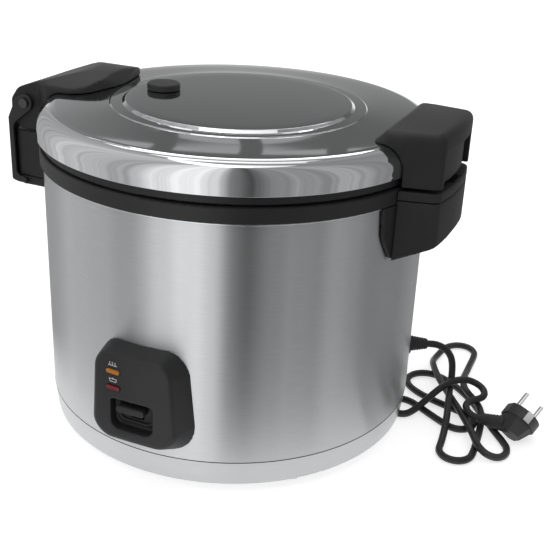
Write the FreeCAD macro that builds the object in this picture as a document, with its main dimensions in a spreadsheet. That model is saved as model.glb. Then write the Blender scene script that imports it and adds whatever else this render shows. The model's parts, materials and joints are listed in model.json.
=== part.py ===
import FreeCAD, Part
import math
import os
import Sketcher
from FreeCAD import Placement, Rotation, Vector

# A large counter-top rice cooker with a hinged lid, as an assembly of separate pieces.
# Millimetres. The origin is on the floor under the middle of the cooker, +Z is up,
# the control panel faces -Y, the latch handle is at +X and the lid's hinge is at -X.

SIZES = {
    # stand and outer casing
    "foot_stand": 8.0,             # floor to the underside of the base ring
    "foot_radius": 13.0,
    "foot_circle": 140.0,          # radius of the circle the feet stand on
    "body_radius": 175.0,
    "base_ring_height": 24.6,
    "base_ring_taper": 2.6,        # how much narrower the ring is at the floor
    "base_ring_wall": 1.2,
    "base_flange": 11.0,           # width of the flange that carries the bottom plate
    "bottom_plate_wall": 1.0,
    "shell_height": 217.6,         # visible height of the brushed shell
    "shell_wall": 0.8,
    "shell_tuck": 7.0,             # how far the shell reaches up inside the rim
    "seam_gap": 0.3,               # open joint line between two fixed pieces
    "assembly_gap": 0.1,           # slack between pieces that are screwed together
    # rim, well and pot
    "rim_band": 13.8,
    "rim_overhang": 2.8,
    "rim_wall": 2.6,
    "well_radius": 157.2,
    "well_wall": 0.8,
    "well_floor": 44.0,            # underside of the well above the floor
    "pot_radius": 150.0,
    "pot_wall": 2.0,
    "pot_flange": 11.0,
    "pot_flange_wall": 1.8,
    "moving_gap": 0.4,             # daylight between pieces that move apart
    # heater and thermostat
    "heater_radius": 118.0,
    "heater_height": 12.0,
    "heater_floor": 60.0,          # underside of the heating plate above the floor
    "heater_eye": 22.0,            # radius of the hole for the sensor
    "sensor_radius": 18.0,
    "sensor_wall": 1.2,
    "sensor_travel": 3.0,
    "sleeve_radius": 12.0,
    "sleeve_wall": 1.5,
    "magnet_height": 5.0,
    "band_height": 24.0,           # keep-warm heater round the well
    "band_floor": 140.0,
    # lid
    "lid_lift": 9.2,               # rim top to the lower edge of the lid
    "lid_overhang": 4.8,
    "lid_wall": 0.9,
    "lid_shoulder": 18.7,          # radius of the rounded shoulder
    "lid_height": 24.9,            # lower edge to the corner of the shoulder
    "lid_rise": 2.0,               # shoulder corner to the raised ring
    "ring_radius": 115.0,
    "ring_step": 0.7,
    "plateau_radius": 101.2,
    "plateau_step": 2.3,
    "lid_ring_inset": 4.4,         # black under-ring set back from the lid edge
    "gasket_radius": 5.0,
    "vent_x": -74.0,
    "vent_y": -6.0,
    "vent_radius": 15.2,
    "vent_height": 6.0,
    "vent_stem": 5.5,
    # handles
    "handle_half_width": 46.0,      # at the outer face
    "handle_root_half": 56.0,       # where it meets the body
    "handle_radius": 208.0,        # outer face of the latch side, from the cooker's axis
    "handle_bottom": 203.0,
    "handle_seam": 254.3,          # joint line between the grip and its cap
    "handle_top": 262.3,
    "handle_wall": 4.0,
    "handle_corner": 9.0,
    "handle_rise": 14.5,           # how much higher the grip's outer lower edge is
    "handle_base_wall": 2.8,
    "handle_base_spread": 14.0,    # how much wider the base is than the grip
    "hood_gap": 3.0,               # finger gap between the handle and the lid's hood
    "hood_top": 313.0,
    "hood_wall": 3.0,
    "hood_reach": 146.0,           # inner end of the hood, from the cooker's axis
    "scoop_half_width": 41.0,
    "scoop_height": 31.0,
    # latch
    "latch_x": 193.0,
    "latch_z": 287.0,
    "latch_pin_radius": 2.0,
    "latch_plate": 4.0,
    "pivot_slack": 0.05,           # radial slack of every pivot
    # hinge
    "hinge_x": -199.5,
    "hinge_z": 282.0,
    "hinge_pin_radius": 3.0,
    "arm_half_width": 44.5,
    "arm_root_half": 57.0,
    "arm_end": 121.0,              # inner end of the arm, from the cooker's axis
    "arm_top": 312.5,
    "rear_half_width": 45.0,
    "rear_radius": 221.0,          # outer face of the hinge side
    "rear_bottom": 198.5,
    "rear_split": 208.5,           # joint line between the tray and the cover
    "rear_top": 254.0,
    "rear_wall": 3.0,
    "yoke_wall": 3.0,
    "ear_radius": 8.0,
    # control panel
    "panel_half_width": 43.4,      # where it meets the shell
    "panel_bottom": 38.0,
    "panel_top": 136.0,
    "panel_depth": 21.0,           # shell to the front of the panel
    "panel_draft": 8.0,            # how much narrower each side is at the front
    "panel_draft_top": 4.0,
    "panel_draft_bottom": 15.0,
    "panel_corner": 22.0,
    "panel_face_corner": 15.0,
    "panel_wall": 2.5,
    "panel_edge": 5.0,
    "lamp_x": -16.0,
    "lamp_warm_z": 116.4,
    "lamp_cook_z": 101.2,
    "lamp_half_length": 6.5,
    "lamp_half_height": 1.9,
    "pocket_half_width": 20.0,
    "pocket_low": 62.0,
    "pocket_high": 91.0,
    "pocket_depth": 11.0,
    "lever_half_width": 13.0,
    "lever_z": 83.0,               # middle of the lever's tab at rest
    "lever_height": 6.0,
    "lever_travel": 9.0,
    "lever_reach": 197.0,          # front of the tab, from the cooker's axis
    # switch linkage under the well
    "pivot_y": -60.0,
    "pivot_z": 30.0,
    "arm_wall": 2.0,
    "arm_half_breadth": 6.0,
    "leg_y": -167.0,
    # mains lead
    "cord_radius": 3.5,
    "gland_angle": 24.0,
    "gland_z": 61.0,
    "gland_radius": 7.5,
    "boot_length": 17.0,
    "hank_height": 18.0,
    "plug_radius": 17.8,
    "plug_depth": 24.0,
    "pin_radius": 2.4,
    "pin_length": 19.0,
    "pin_spacing": 19.0,
    # fasteners
    "screw_radius": 1.9,
    "screw_head": 3.6,
    "screw_head_height": 2.4,
}

doc = FreeCAD.newDocument("rice_cooker")
sheet = doc.addObject("Spreadsheet::Sheet", "Dims")
for row, (alias, number) in enumerate(SIZES.items(), start=1):
    sheet.set(f"A{row}", alias)
    sheet.set(f"B{row}", str(number))
    sheet.setAlias(f"B{row}", alias)
doc.recompute()


class Size:
    """A number together with the sheet expression that gives it."""

    def __init__(self, value, text):
        self.value = value
        self.text = text

    def __float__(self):
        return self.value

    def __add__(self, other):
        other = as_size(other)
        return Size(self.value + other.value, f"({self.text} + {other.text})")

    def __sub__(self, other):
        other = as_size(other)
        return Size(self.value - other.value, f"({self.text} - {other.text})")

    def __mul__(self, other):
        other = as_size(other)
        return Size(self.value * other.value, f"({self.text} * {other.text})")

    def __truediv__(self, other):
        other = as_size(other)
        return Size(self.value / other.value, f"({self.text} / {other.text})")

    def __neg__(self):
        return Size(-self.value, f"(0 - {self.text})")

    def __radd__(self, other):
        return as_size(other) + self

    def __rsub__(self, other):
        return as_size(other) - self

    def __rmul__(self, other):
        return as_size(other) * self


def as_size(thing):
    """Any number as a Size."""
    if isinstance(thing, Size):
        return thing
    return Size(float(thing), repr(float(thing)))


def cell(alias):
    """The Size held in one cell of the sheet."""
    return Size(float(sheet.get(alias)), "Dims." + alias)


def leg(radius, across):
    """The other leg of a right triangle: how far out a circle is at a given offset."""
    radius = as_size(radius)
    across = as_size(across)
    value = math.sqrt(radius.value ** 2 - across.value ** 2)
    return Size(value, f"sqrt({radius.text}^2 - {across.text}^2)")


def bind(thing, name, size):
    """Ties one property of a document object to the sheet."""
    thing.setExpression(name, as_size(size).text)


def place(thing, x=0.0, y=0.0, z=0.0, turn=None):
    """Sets a placement whose three coordinates are tied to the sheet."""
    if turn is not None:
        thing.Placement = Placement(Vector(0, 0, 0), turn)
    for axis, size in zip("xyz", (x, y, z)):
        bind(thing, f"Placement.Base.{axis}", size)
    return thing


def cosine(angle):
    """Cosine of an angle in degrees."""
    angle = as_size(angle)
    return Size(math.cos(math.radians(angle.value)), f"cos({angle.text} * 1 deg)")


def sine(angle):
    """Sine of an angle in degrees."""
    angle = as_size(angle)
    return Size(math.sin(math.radians(angle.value)), f"sin({angle.text} * 1 deg)")


def origin_plane(body, role):
    for feature in body.Origin.OriginFeatures:
        if feature.Role == role:
            return feature
    raise ValueError(role)


def rounded_corner(before, corner, after, radius):
    """End of the side before, start of the side after, the arc, and whether it turns left."""
    back = (before - corner).normalize()
    ahead = (after - corner).normalize()
    half = back.getAngle(ahead) / 2
    trim = radius / math.tan(half)
    into = corner + back * trim
    out = corner + ahead * trim
    middle = corner + (back + ahead).normalize() * (radius / math.sin(half))
    left = back.cross(ahead).z < 0
    first, last = (into, out) if left else (out, into)
    begin = math.atan2(first.y - middle.y, first.x - middle.x)
    end = math.atan2(last.y - middle.y, last.x - middle.x)
    if end < begin:
        end += 2 * math.pi
    arc = Part.ArcOfCircle(Part.Circle(middle, Vector(0, 0, 1), radius), begin, end)
    return into, out, arc, left


def draw(sketch, corners):
    """Draws a closed outline: corners are (across, up) or (across, up, radius)."""
    spots = [Vector(float(corner[0]), float(corner[1]), 0) for corner in corners]
    count = len(corners)
    starts = list(spots)
    ends = list(spots)
    arcs = {}
    for i, corner in enumerate(corners):
        if len(corner) == 3:
            bend = rounded_corner(spots[i - 1], spots[i], spots[(i + 1) % count], float(corner[2]))
            ends[i], starts[i] = bend[0], bend[1]
            arcs[i] = bend[2:]
    sides = []
    for i in range(count):
        sides.append(sketch.addGeometry(Part.LineSegment(starts[i], ends[(i + 1) % count]), False))

    def hold(kind, *where):
        number = sketch.addConstraint(Sketcher.Constraint(kind, *where[:-1], float(where[-1])))
        bind(sketch, f"Constraints[{number}]", where[-1])

    for i, corner in enumerate(corners):
        into = sides[i - 1]
        out = sides[i]
        if i in arcs:
            arc, left = arcs[i]
            bend = sketch.addGeometry(arc, False)
            tip = sketch.addGeometry(Part.Point(spots[i]), True)
            sketch.addConstraint(Sketcher.Constraint("PointOnObject", tip, 1, into))
            sketch.addConstraint(Sketcher.Constraint("PointOnObject", tip, 1, out))
            sketch.addConstraint(Sketcher.Constraint("Tangent", into, 2, bend, 1 if left else 2))
            sketch.addConstraint(Sketcher.Constraint("Tangent", out, 1, bend, 2 if left else 1))
            hold("Radius", bend, corner[2])
        else:
            tip = out
            sketch.addConstraint(Sketcher.Constraint("Coincident", into, 2, out, 1))
        hold("DistanceX", tip, 1, corner[0])
        hold("DistanceY", tip, 1, corner[1])


def outline(body, plane, corners, offset=0.0):
    """A sketch with a closed outline on one of a body's own planes."""
    sketch = body.newObject("Sketcher::SketchObject", body.Label + "_outline")
    sketch.AttachmentSupport = (origin_plane(body, plane), "")
    sketch.MapMode = "FlatFace"
    bind(sketch, "AttachmentOffset.Base.z", offset)
    draw(sketch, corners)
    return sketch


def new_body(name):
    body = doc.addObject("PartDesign::Body", name)
    body.Label = name
    return body


def turned(name, corners):
    """A body turned about the vertical axis from (radius, height) corners."""
    body = new_body(name)
    sketch = outline(body, "XZ_Plane", corners)
    turn = body.newObject("PartDesign::Revolution", name + "_turn")
    turn.Profile = sketch
    turn.ReferenceAxis = (sketch, ["V_Axis"])
    turn.Angle = 360
    return body


def slab(name, plane, corners, low, high):
    """A body padded square to a plane, from low to high along X, Y or Z."""
    body = new_body(name)
    if plane == "XZ_Plane":
        sketch = outline(body, plane, corners, -as_size(high))
    else:
        sketch = outline(body, plane, corners, low)
    pad = body.newObject("PartDesign::Pad", name + "_pad")
    pad.Profile = sketch
    bind(pad, "Length", as_size(high) - low)
    return body


def block(name, xs, ys, zs):
    """A plain box between two values along each axis."""
    box = doc.addObject("Part::Box", name)
    box.Label = name
    for side, (low, high) in zip(("Length", "Width", "Height"), (xs, ys, zs)):
        bind(box, side, as_size(high) - low)
    return place(box, xs[0], ys[0], zs[0])


def rod(name, radius, length, x=0.0, y=0.0, z=0.0, along=(0, 0, 1)):
    """A plain cylinder that starts at a point and runs along a direction."""
    cylinder = doc.addObject("Part::Cylinder", name)
    cylinder.Label = name
    bind(cylinder, "Radius", radius)
    bind(cylinder, "Height", length)
    return place(cylinder, x, y, z, Rotation(Vector(0, 0, 1), Vector(*along)))


def spoke(name, radius, start, end, angle, z):
    """A cylinder along a radius of the cooker, at an angle and a height."""
    across = cosine(angle)
    ahead = sine(angle)
    return rod(name, radius, as_size(end) - start, across * start, ahead * start, z,
               (float(across), float(ahead), 0))


def joined(name, *pieces):
    fuse = doc.addObject("Part::MultiFuse", name)
    fuse.Label = name
    fuse.Shapes = list(pieces)
    fuse.Refine = True
    return fuse


def shared(name, *pieces):
    common = doc.addObject("Part::MultiCommon", name)
    common.Label = name
    common.Shapes = list(pieces)
    return common


def cut(name, base, *tools):
    tool = tools[0] if len(tools) == 1 else group(name + "_tools", *tools)
    result = doc.addObject("Part::Cut", name)
    result.Label = name
    result.Base = base
    result.Tool = tool
    return result


def group(name, *pieces):
    """Separate solids kept together in one node."""
    compound = doc.addObject("Part::Compound", name)
    compound.Label = name
    compound.Links = list(pieces)
    return compound


def softened(name, base, radius, wanted):
    """Rounds the edges of a piece that pass a test on their middle point."""
    doc.recompute()
    chosen = []
    for number, edge in enumerate(base.Shape.Edges, start=1):
        middle = edge.valueAt((edge.FirstParameter + edge.LastParameter) / 2)
        if wanted(edge, middle):
            chosen.append((number, float(radius), float(radius)))
    fillet = doc.addObject("Part::Fillet", name)
    fillet.Label = name
    fillet.Base = base
    fillet.Edges = chosen
    return fillet


def shaped(name, shape):
    """A piece whose shape is worked out in code from the sheet's sizes."""
    feature = doc.addObject("Part::Feature", name)
    feature.Label = name
    feature.Shape = shape
    return feature


foot_stand = cell("foot_stand")
body_radius = cell("body_radius")
shell_wall = cell("shell_wall")
seam_gap = cell("seam_gap")
assembly_gap = cell("assembly_gap")
moving_gap = cell("moving_gap")
pivot_slack = cell("pivot_slack")
screw_radius = cell("screw_radius")
screw_head = cell("screw_head")
screw_head_height = cell("screw_head_height")
screw_bore = screw_radius + assembly_gap

# heights of the stack, all from the floor up
base_top = foot_stand + cell("base_ring_height")
rim_low = base_top + cell("shell_height")
shell_top = rim_low + cell("shell_tuck")
rim_top = rim_low + cell("rim_band")
lid_low = rim_top + cell("lid_lift")
heater_floor = cell("heater_floor")
heater_top = heater_floor + cell("heater_height")
well_floor = cell("well_floor")
well_inside = well_floor + cell("well_wall")
shell_bore = body_radius - shell_wall


def spoke_screw(name, angle, z, inner, length):
    """A screw along a radius of the cooker, its head on the inside."""
    head = spoke(name + "_head", screw_head, inner - screw_head_height, inner, angle, z)
    shank = spoke(name + "_shank", screw_radius, inner, inner + length, angle, z)
    return joined(name, head, shank)


def upright_screw(name, x, y, z, length):
    """A screw that points up, its head below the given height."""
    head = rod(name + "_head", screw_head, screw_head_height, x, y, z - screw_head_height)
    shank = rod(name + "_shank", screw_radius, length, x, y, z)
    return joined(name, head, shank)


nodes = []

# base ring, bottom plate and feet
ring_wall = cell("base_ring_wall")
ring_low_radius = body_radius - cell("base_ring_taper")
plate_low = foot_stand + ring_wall
plate_top = plate_low + cell("bottom_plate_wall")
flange_bore = ring_low_radius - ring_wall - cell("base_flange")
tongue_radius = shell_bore - assembly_gap
tongue_height = 9.7
ring_blank = turned("base_ring_blank", [
    (flange_bore, foot_stand),
    (ring_low_radius, foot_stand, 3.0),
    (body_radius, base_top - seam_gap),
    (tongue_radius, base_top - seam_gap),
    (tongue_radius, base_top + tongue_height),
    (tongue_radius - ring_wall, base_top + tongue_height),
    (tongue_radius - ring_wall, base_top - seam_gap),
    (ring_low_radius - ring_wall, plate_low),
    (flange_bore, plate_low),
])
plate_radius = ring_low_radius - ring_wall * 2
plate_disc = rod("bottom_plate_disc", plate_radius, plate_top - plate_low, 0, 0, plate_low)

screw_circle = flange_bore + cell("base_flange") / 2
base_screw_angles = [15, 75, 135, 195, 255, 315]
ring_holes = []
base_screws = []
for angle in base_screw_angles:
    x = screw_circle * cosine(angle)
    y = screw_circle * sine(angle)
    ring_holes.append(rod(f"base_hole_{angle}", screw_bore, 20.0, x, y, 0.0))
    base_screws.append(upright_screw(f"base_screw_{angle}", x, y, foot_stand - assembly_gap, 8.0))
nodes.append(cut("base_ring", ring_blank, *ring_holes))
nodes.append(group("base_screws", *base_screws))

foot_radius = cell("foot_radius")
foot_circle = cell("foot_circle")
stud = foot_radius * 0.32
feet = []
foot_holes = []
for angle in (45, 135, 225, 315):
    foot = turned(f"foot_{angle}", [
        (0, 0),
        (foot_radius * 0.88, 0, 1.0),
        (foot_radius, plate_low),
        (stud, plate_low),
        (stud, plate_top),
        (foot_radius * 0.5, plate_top),
        (foot_radius * 0.36, plate_top + 3.5),
        (0, plate_top + 3.5),
    ])
    x = foot_circle * cosine(angle)
    y = foot_circle * sine(angle)
    feet.append(place(foot, x, y))
    foot_holes.append(rod(f"foot_hole_{angle}", stud + pivot_slack, 40.0, x, y))
nodes.append(group("feet", *feet))

# cooling slots in the bottom plate, in two rings
slots = []
for ring_share, slot_angles in ((0.34, range(0, 360, 30)), (0.62, range(0, 360, 20))):
    for angle in slot_angles:
        start = plate_radius * ring_share
        slot = block(f"slot_{int(100 * ring_share)}_{angle}", (start, start + 24.0), (-2.0, 2.0), (0, 40.0))
        turn = Rotation(Vector(0, 0, 1), angle)
        slot.Placement = Placement(Vector(0, 0, 0), turn)
        bind(slot, "Placement.Base.x", start * cosine(angle) + 2.0 * sine(angle))
        bind(slot, "Placement.Base.y", start * sine(angle) - 2.0 * cosine(angle))
        slots.append(slot)
nodes.append(cut("bottom_plate", plate_disc, *ring_holes, *foot_holes, *slots))

# outer shell, with openings for the panel, the cord and the screws
shell_blank = turned("outer_shell_blank", [
    (shell_bore, base_top),
    (body_radius, base_top),
    (body_radius, shell_top),
    (shell_bore, shell_top),
])
gland_angle = cell("gland_angle")
gland_z = cell("gland_z")
gland_radius = cell("gland_radius")
panel_low = cell("panel_bottom")
panel_high = cell("panel_top")
boss_angle = 9.6
boss_low = panel_low + 21.0
boss_high = panel_high - 13.0
handle_screw_angle = 9.5
handle_screw_z = cell("handle_bottom") + 26.0
shell_screws = {
    "panel_screws": [(-90 - boss_angle, boss_low), (-90 + boss_angle, boss_low),
                     (-90 - boss_angle, boss_high), (-90 + boss_angle, boss_high)],
    "latch_handle_screws": [(-handle_screw_angle, handle_screw_z), (handle_screw_angle, handle_screw_z)],
    "rear_handle_screws": [(180 - handle_screw_angle, handle_screw_z),
                           (180 + handle_screw_angle, handle_screw_z)],
}
openings = [
    block("panel_window", (-22.0, 22.0), (-body_radius - 5.0, -body_radius * 0.9),
          (panel_low + 26.0, panel_high - 14.0)),
    spoke("gland_hole", gland_radius + assembly_gap, body_radius * 0.9, body_radius + 5.0, gland_angle,
          gland_z),
]
for screw_group, spots in shell_screws.items():
    screws = []
    for number, (angle, z) in enumerate(spots):
        name = f"{screw_group}_{number}"
        screws.append(spoke_screw(name, angle, z, shell_bore - 0.3, 6.5))
        openings.append(spoke(name + "_hole", screw_bore, body_radius * 0.9, body_radius + 5.0, angle, z))
    nodes.append(group(screw_group, *screws))
nodes.append(cut("outer_shell", shell_blank, *openings))

# rim ring, well and pot
rim_radius = body_radius + cell("rim_overhang")
rim_inside = rim_radius - cell("rim_wall")
rim_bore = cell("well_radius") + seam_gap
rim_floor = rim_top - cell("rim_wall") - 0.4
skirt_low = rim_top - 8.8
nodes.append(turned("rim_ring", [
    (rim_inside, rim_low),
    (rim_radius, rim_low, 1.0),
    (rim_radius, rim_top, 1.5),
    (rim_bore, rim_top, 1.0),
    (rim_bore, skirt_low),
    (rim_bore + 2.5, skirt_low),
    (rim_bore + 2.5, rim_floor),
    (shell_bore - 0.6, rim_floor),
    (shell_bore - 0.6, shell_top + seam_gap),
    (rim_inside, shell_top + seam_gap),
]))
well_radius = cell("well_radius")
well_wall = cell("well_wall")
sleeve_radius = cell("sleeve_radius")
well_blank = turned("inner_casing_blank", [
    (sleeve_radius + assembly_gap, well_floor),
    (well_radius, well_floor, 8.0),
    (well_radius, skirt_low - assembly_gap - well_wall),
    (well_radius + 7.0, skirt_low - assembly_gap - well_wall),
    (well_radius + 7.0, skirt_low - assembly_gap),
    (well_radius - well_wall, skirt_low - assembly_gap),
    (well_radius - well_wall, well_inside, 8.0 - well_wall),
    (sleeve_radius + assembly_gap, well_inside),
])
pot_radius = cell("pot_radius")
pot_wall = cell("pot_wall")
pot_low = heater_top + moving_gap
pot_flange_low = rim_top + moving_gap
pot_flange_top = pot_flange_low + cell("pot_flange_wall")
nodes.append(turned("inner_pot", [
    (0, pot_low),
    (pot_radius, pot_low, 16.0),
    (pot_radius, pot_flange_low),
    (pot_radius + cell("pot_flange"), pot_flange_low),
    (pot_radius + cell("pot_flange"), pot_flange_top),
    (pot_radius - pot_wall, pot_flange_top, 1.2),
    (pot_radius - pot_wall, pot_low + pot_wall, 16.0 - pot_wall),
    (0, pot_low + pot_wall),
]))

# heating plate with its tube heater, on three posts
heater_radius = cell("heater_radius")
heater_eye = cell("heater_eye")
nodes.append(turned("heating_plate", [
    (heater_eye, heater_floor),
    (heater_radius, heater_floor, 2.0),
    (heater_radius, heater_top, 4.0),
    (heater_eye, heater_top, 1.0),
]))
tube_radius = 4.5
tube_circle = heater_radius * 0.68
tube_z = heater_floor - tube_radius - assembly_gap
heater_loop = doc.addObject("Part::Torus", "heater_loop")
bind(heater_loop, "Radius1", tube_circle)
heater_loop.Radius2 = tube_radius
place(heater_loop, 0, 0, tube_z)
tails = []
well_holes = []
for number, y in enumerate((-9.0, 9.0)):
    x = leg(tube_circle, 9.0)
    tails.append(rod(f"heater_tail_{number}", 3.0, tube_z - well_floor + 9.0, x, y, well_floor - 9.0))
    well_holes.append(rod(f"tail_hole_{number}", 3.4, 20.0, x, y, well_floor - 9.0))
nodes.append(joined("heater_tube", heater_loop, *tails))
posts = []
for angle in (90, 210, 330):
    x = heater_radius * 0.86 * cosine(angle)
    y = heater_radius * 0.86 * sine(angle)
    posts.append(rod(f"plate_post_{angle}", 5.0, heater_floor - well_inside, x, y, well_inside))
nodes.append(group("plate_posts", *posts))
nodes.append(cut("inner_casing", well_blank, *well_holes))

# keep-warm band round the well
band_floor = cell("band_floor")
band_top = band_floor + cell("band_height")
nodes.append(turned("keep_warm_band", [
    (well_radius + assembly_gap, band_floor),
    (well_radius + 2.2, band_floor, 0.6),
    (well_radius + 2.2, band_top, 0.6),
    (well_radius + assembly_gap, band_top),
]))

# thermostat: spring cap with a ferrite disc, and a magnet on a rod
sensor_radius = cell("sensor_radius")
sensor_wall = cell("sensor_wall")
sensor_travel = cell("sensor_travel")
sensor_low = heater_floor - 10.0
sensor_ceiling = heater_top - sensor_wall
nodes.append(turned("sensor_cap", [
    (sensor_radius - sensor_wall, sensor_low),
    (sensor_radius + 2.6, sensor_low),
    (sensor_radius + 2.6, sensor_low + 1.0),
    (sensor_radius, sensor_low + 1.0),
    (sensor_radius, heater_top, 2.0),
    (0, heater_top),
    (0, sensor_ceiling),
    (sensor_radius - sensor_wall, sensor_ceiling, 0.8),
]))
sleeve_bore = sleeve_radius - cell("sleeve_wall")
magnet_radius = sleeve_bore - 1.0
ferrite_height = 5.6
nodes.append(turned("ferrite_disc", [
    (0, sensor_ceiling - ferrite_height),
    (magnet_radius, sensor_ceiling - ferrite_height, 0.5),
    (magnet_radius, sensor_ceiling),
    (0, sensor_ceiling),
]))
sleeve_seat = well_inside + 1.3
nodes.append(turned("sensor_sleeve", [
    (sleeve_bore, well_floor - 4.0),
    (sleeve_radius, well_floor - 4.0),
    (sleeve_radius, well_inside + assembly_gap),
    (sleeve_radius * 2, well_inside + assembly_gap),
    (sleeve_radius * 2, sleeve_seat),
    (sleeve_radius, sleeve_seat),
    (sleeve_radius, heater_floor),
    (sleeve_bore, heater_floor),
]))
pivot_y = cell("pivot_y")
pivot_z = cell("pivot_z")
arm_wall = cell("arm_wall")
arm_low = pivot_z - 4.0
arm_top = arm_low + arm_wall
lever_z = cell("lever_z")
switch_angle = cell("lever_travel") / (cell("lever_reach") + pivot_y)
magnet_rise = -pivot_y * switch_angle
magnet_top = sensor_ceiling - ferrite_height - sensor_travel - magnet_rise - moving_gap
foot_low = arm_top + 1.2
nodes.append(turned("magnet_rod", [
    (0, foot_low),
    (6.0, foot_low),
    (6.0, foot_low + 2.0),
    (2.0, foot_low + 2.0),
    (2.0, magnet_top - cell("magnet_height")),
    (magnet_radius, magnet_top - cell("magnet_height")),
    (magnet_radius, magnet_top, 0.5),
    (0, magnet_top),
]))


def coil(radius, wire, low, high, turns):
    """A coil spring about Z: half rings, tilted in turn, that meet face to face."""
    pitch = (high - low - 2 * wire) / turns
    halves = []
    for number in range(2 * turns):
        side = 1 if number % 2 == 0 else -1
        start = Vector(side * radius, 0, number * pitch / 2)
        centre = Vector(0, 0, number * pitch / 2 + pitch / 4)
        axis = (start - centre).cross(Vector(0, side, 0))
        disc = Part.Face(Part.Wire(Part.makeCircle(wire, start, Vector(0, 1, 0))))
        halves.append(disc.revolve(centre, axis, 180))
    whole = halves[0].multiFuse(halves[1:]).removeSplitter().Solids[0]
    whole.translate(Vector(0, 0, low + wire))
    return whole


spring_wire = 0.9
spring_radius = (float(sleeve_radius) + float(sensor_radius - sensor_wall)) / 2
nodes.append(shaped("sensor_spring", coil(spring_radius, spring_wire, float(sleeve_seat) + 0.2,
                                          float(sensor_ceiling) - 0.2, 5)))

# switch linkage: a rocking arm on a pin, with a micro switch above it
half_breadth = cell("arm_half_breadth")
leg_y = cell("leg_y")
pin_radius = 2.0
hub_radius = 4.0
pin_x = half_breadth + 3.5
arm_strip = block("switch_arm_strip", (-half_breadth, half_breadth), (leg_y - arm_wall / 2, 8.0),
                  (arm_low, arm_top))
arm_leg = block("switch_arm_leg", (-half_breadth, half_breadth), (leg_y - arm_wall / 2, leg_y + arm_wall / 2),
                (arm_low, lever_z + 6.0))
arm_hub = rod("switch_arm_hub", hub_radius, half_breadth * 2, -half_breadth, pivot_y, pivot_z, (1, 0, 0))
arm_bore = rod("switch_arm_bore", pin_radius + pivot_slack, half_breadth * 4, -half_breadth * 2, pivot_y,
               pivot_z, (1, 0, 0))
nodes.append(cut("switch_arm", joined("switch_arm_blank", arm_strip, arm_leg, arm_hub), arm_bore))
nodes.append(rod("switch_pin", pin_radius, pin_x * 2, -pin_x, pivot_y, pivot_z, (1, 0, 0)))
cheek_low = half_breadth + moving_gap
cheek_high = cheek_low + 2.0
bracket_top = well_floor - assembly_gap
cheeks = [block(f"bracket_cheek_{number}", sides, (pivot_y - 9.0, pivot_y + 9.0),
                (pivot_z - 5.0, bracket_top))
          for number, sides in enumerate(((-cheek_high, -cheek_low), (cheek_low, cheek_high)))]
bridge = block("bracket_bridge", (-cheek_high, cheek_high), (pivot_y - 9.0, pivot_y + 9.0),
               (bracket_top - 2.0, bracket_top))
nodes.append(cut("switch_bracket", joined("switch_bracket_blank", bridge, *cheeks), arm_bore))
switch_y = pivot_y - 40.0
switch_box = block("micro_switch_box", (-5.0, 5.0), (switch_y - 10.0, switch_y + 10.0),
                   (bracket_top - 10.5, bracket_top))
switch_nub = rod("micro_switch_nub", 1.8, 6.0, 0.0, switch_y - 4.0, arm_top + moving_gap * 2)
nodes.append(joined("micro_switch", switch_box, switch_nub))

# wiring pieces
nodes.append(joined("terminal_block", block("terminal_body", (104.0, 138.0), (36.0, 54.0),
                                            (plate_top + assembly_gap, plate_top + 9.0)),
                    block("terminal_rib", (104.0, 138.0), (42.0, 48.0), (plate_top + 8.0, plate_top + 14.0))))
nodes.append(rod("thermal_fuse", 3.0, 18.0, 30.0, 44.0, heater_floor - 3.0 - assembly_gap, (1, 0, 0)))

# lid: polished shell, black under-ring, inner pan and gasket
lid_radius = body_radius + cell("lid_overhang")
lid_wall = cell("lid_wall")
lid_shoulder = cell("lid_shoulder")
shoulder_z = lid_low + cell("lid_height")
ring_z = shoulder_z + cell("lid_rise")
ring_top = ring_z + cell("ring_step")
plateau_z = ring_top + cell("plateau_step")
ring_radius = cell("ring_radius")
plateau_radius = cell("plateau_radius")
hem = 4.0


def lid_top(grow):
    """The lid's outer outline from its edge to its middle, moved outwards by an amount."""
    return [
        (lid_radius + grow, shoulder_z + grow, lid_shoulder + grow),
        (ring_radius + 0.5, ring_z + grow),
        (ring_radius - 0.5, ring_top + grow),
        (plateau_radius + 3.2, ring_top + grow),
        (plateau_radius + 0.3, plateau_z + grow),
        (0, plateau_z + grow),
    ]


lid_blank = turned("lid_shell_blank", [
    (lid_radius - hem, lid_low),
    (lid_radius, lid_low, 0.6),
    *lid_top(0.0),
    *reversed(lid_top(-lid_wall)),
    (lid_radius - lid_wall, lid_low + lid_wall),
    (lid_radius - hem, lid_low + lid_wall),
])
lid_ring_radius = lid_radius - cell("lid_ring_inset")
lid_ring_low = rim_top + moving_gap * 2
pan_top = lid_low - 2.0
pan_low = pan_top - 1.0
nodes.append(turned("lid_ring", [
    (lid_ring_radius - 10.9, lid_ring_low),
    (lid_ring_radius, lid_ring_low, 1.5),
    (lid_ring_radius, lid_low - assembly_gap, 0.6),
    (lid_ring_radius - 17.4, lid_low - assembly_gap),
    (lid_ring_radius - 17.4, pan_top + assembly_gap),
    (lid_ring_radius - 10.9, pan_top + assembly_gap),
]))
pan_radius = lid_ring_radius - 10.9 - seam_gap
gasket_middle = pot_radius + 4.5
gasket_half = cell("gasket_radius") * 0.7
nodes.append(turned("lid_gasket", [
    (gasket_middle - gasket_half, pot_flange_top + moving_gap + 1.0),
    (gasket_middle, pot_flange_top + moving_gap, 0.8),
    (gasket_middle + gasket_half, pot_flange_top + moving_gap + 1.0),
    (gasket_middle + gasket_half, pan_low),
    (gasket_middle - gasket_half, pan_low),
]))
vent_x = cell("vent_x")
vent_y = cell("vent_y")
vent_radius = cell("vent_radius")
vent_stem = cell("vent_stem")
vent_low = plateau_z + moving_gap
vent_top = vent_low + cell("vent_height")
grommet_radius = vent_stem + 3.0
stem_bore = vent_stem + moving_gap
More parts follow.
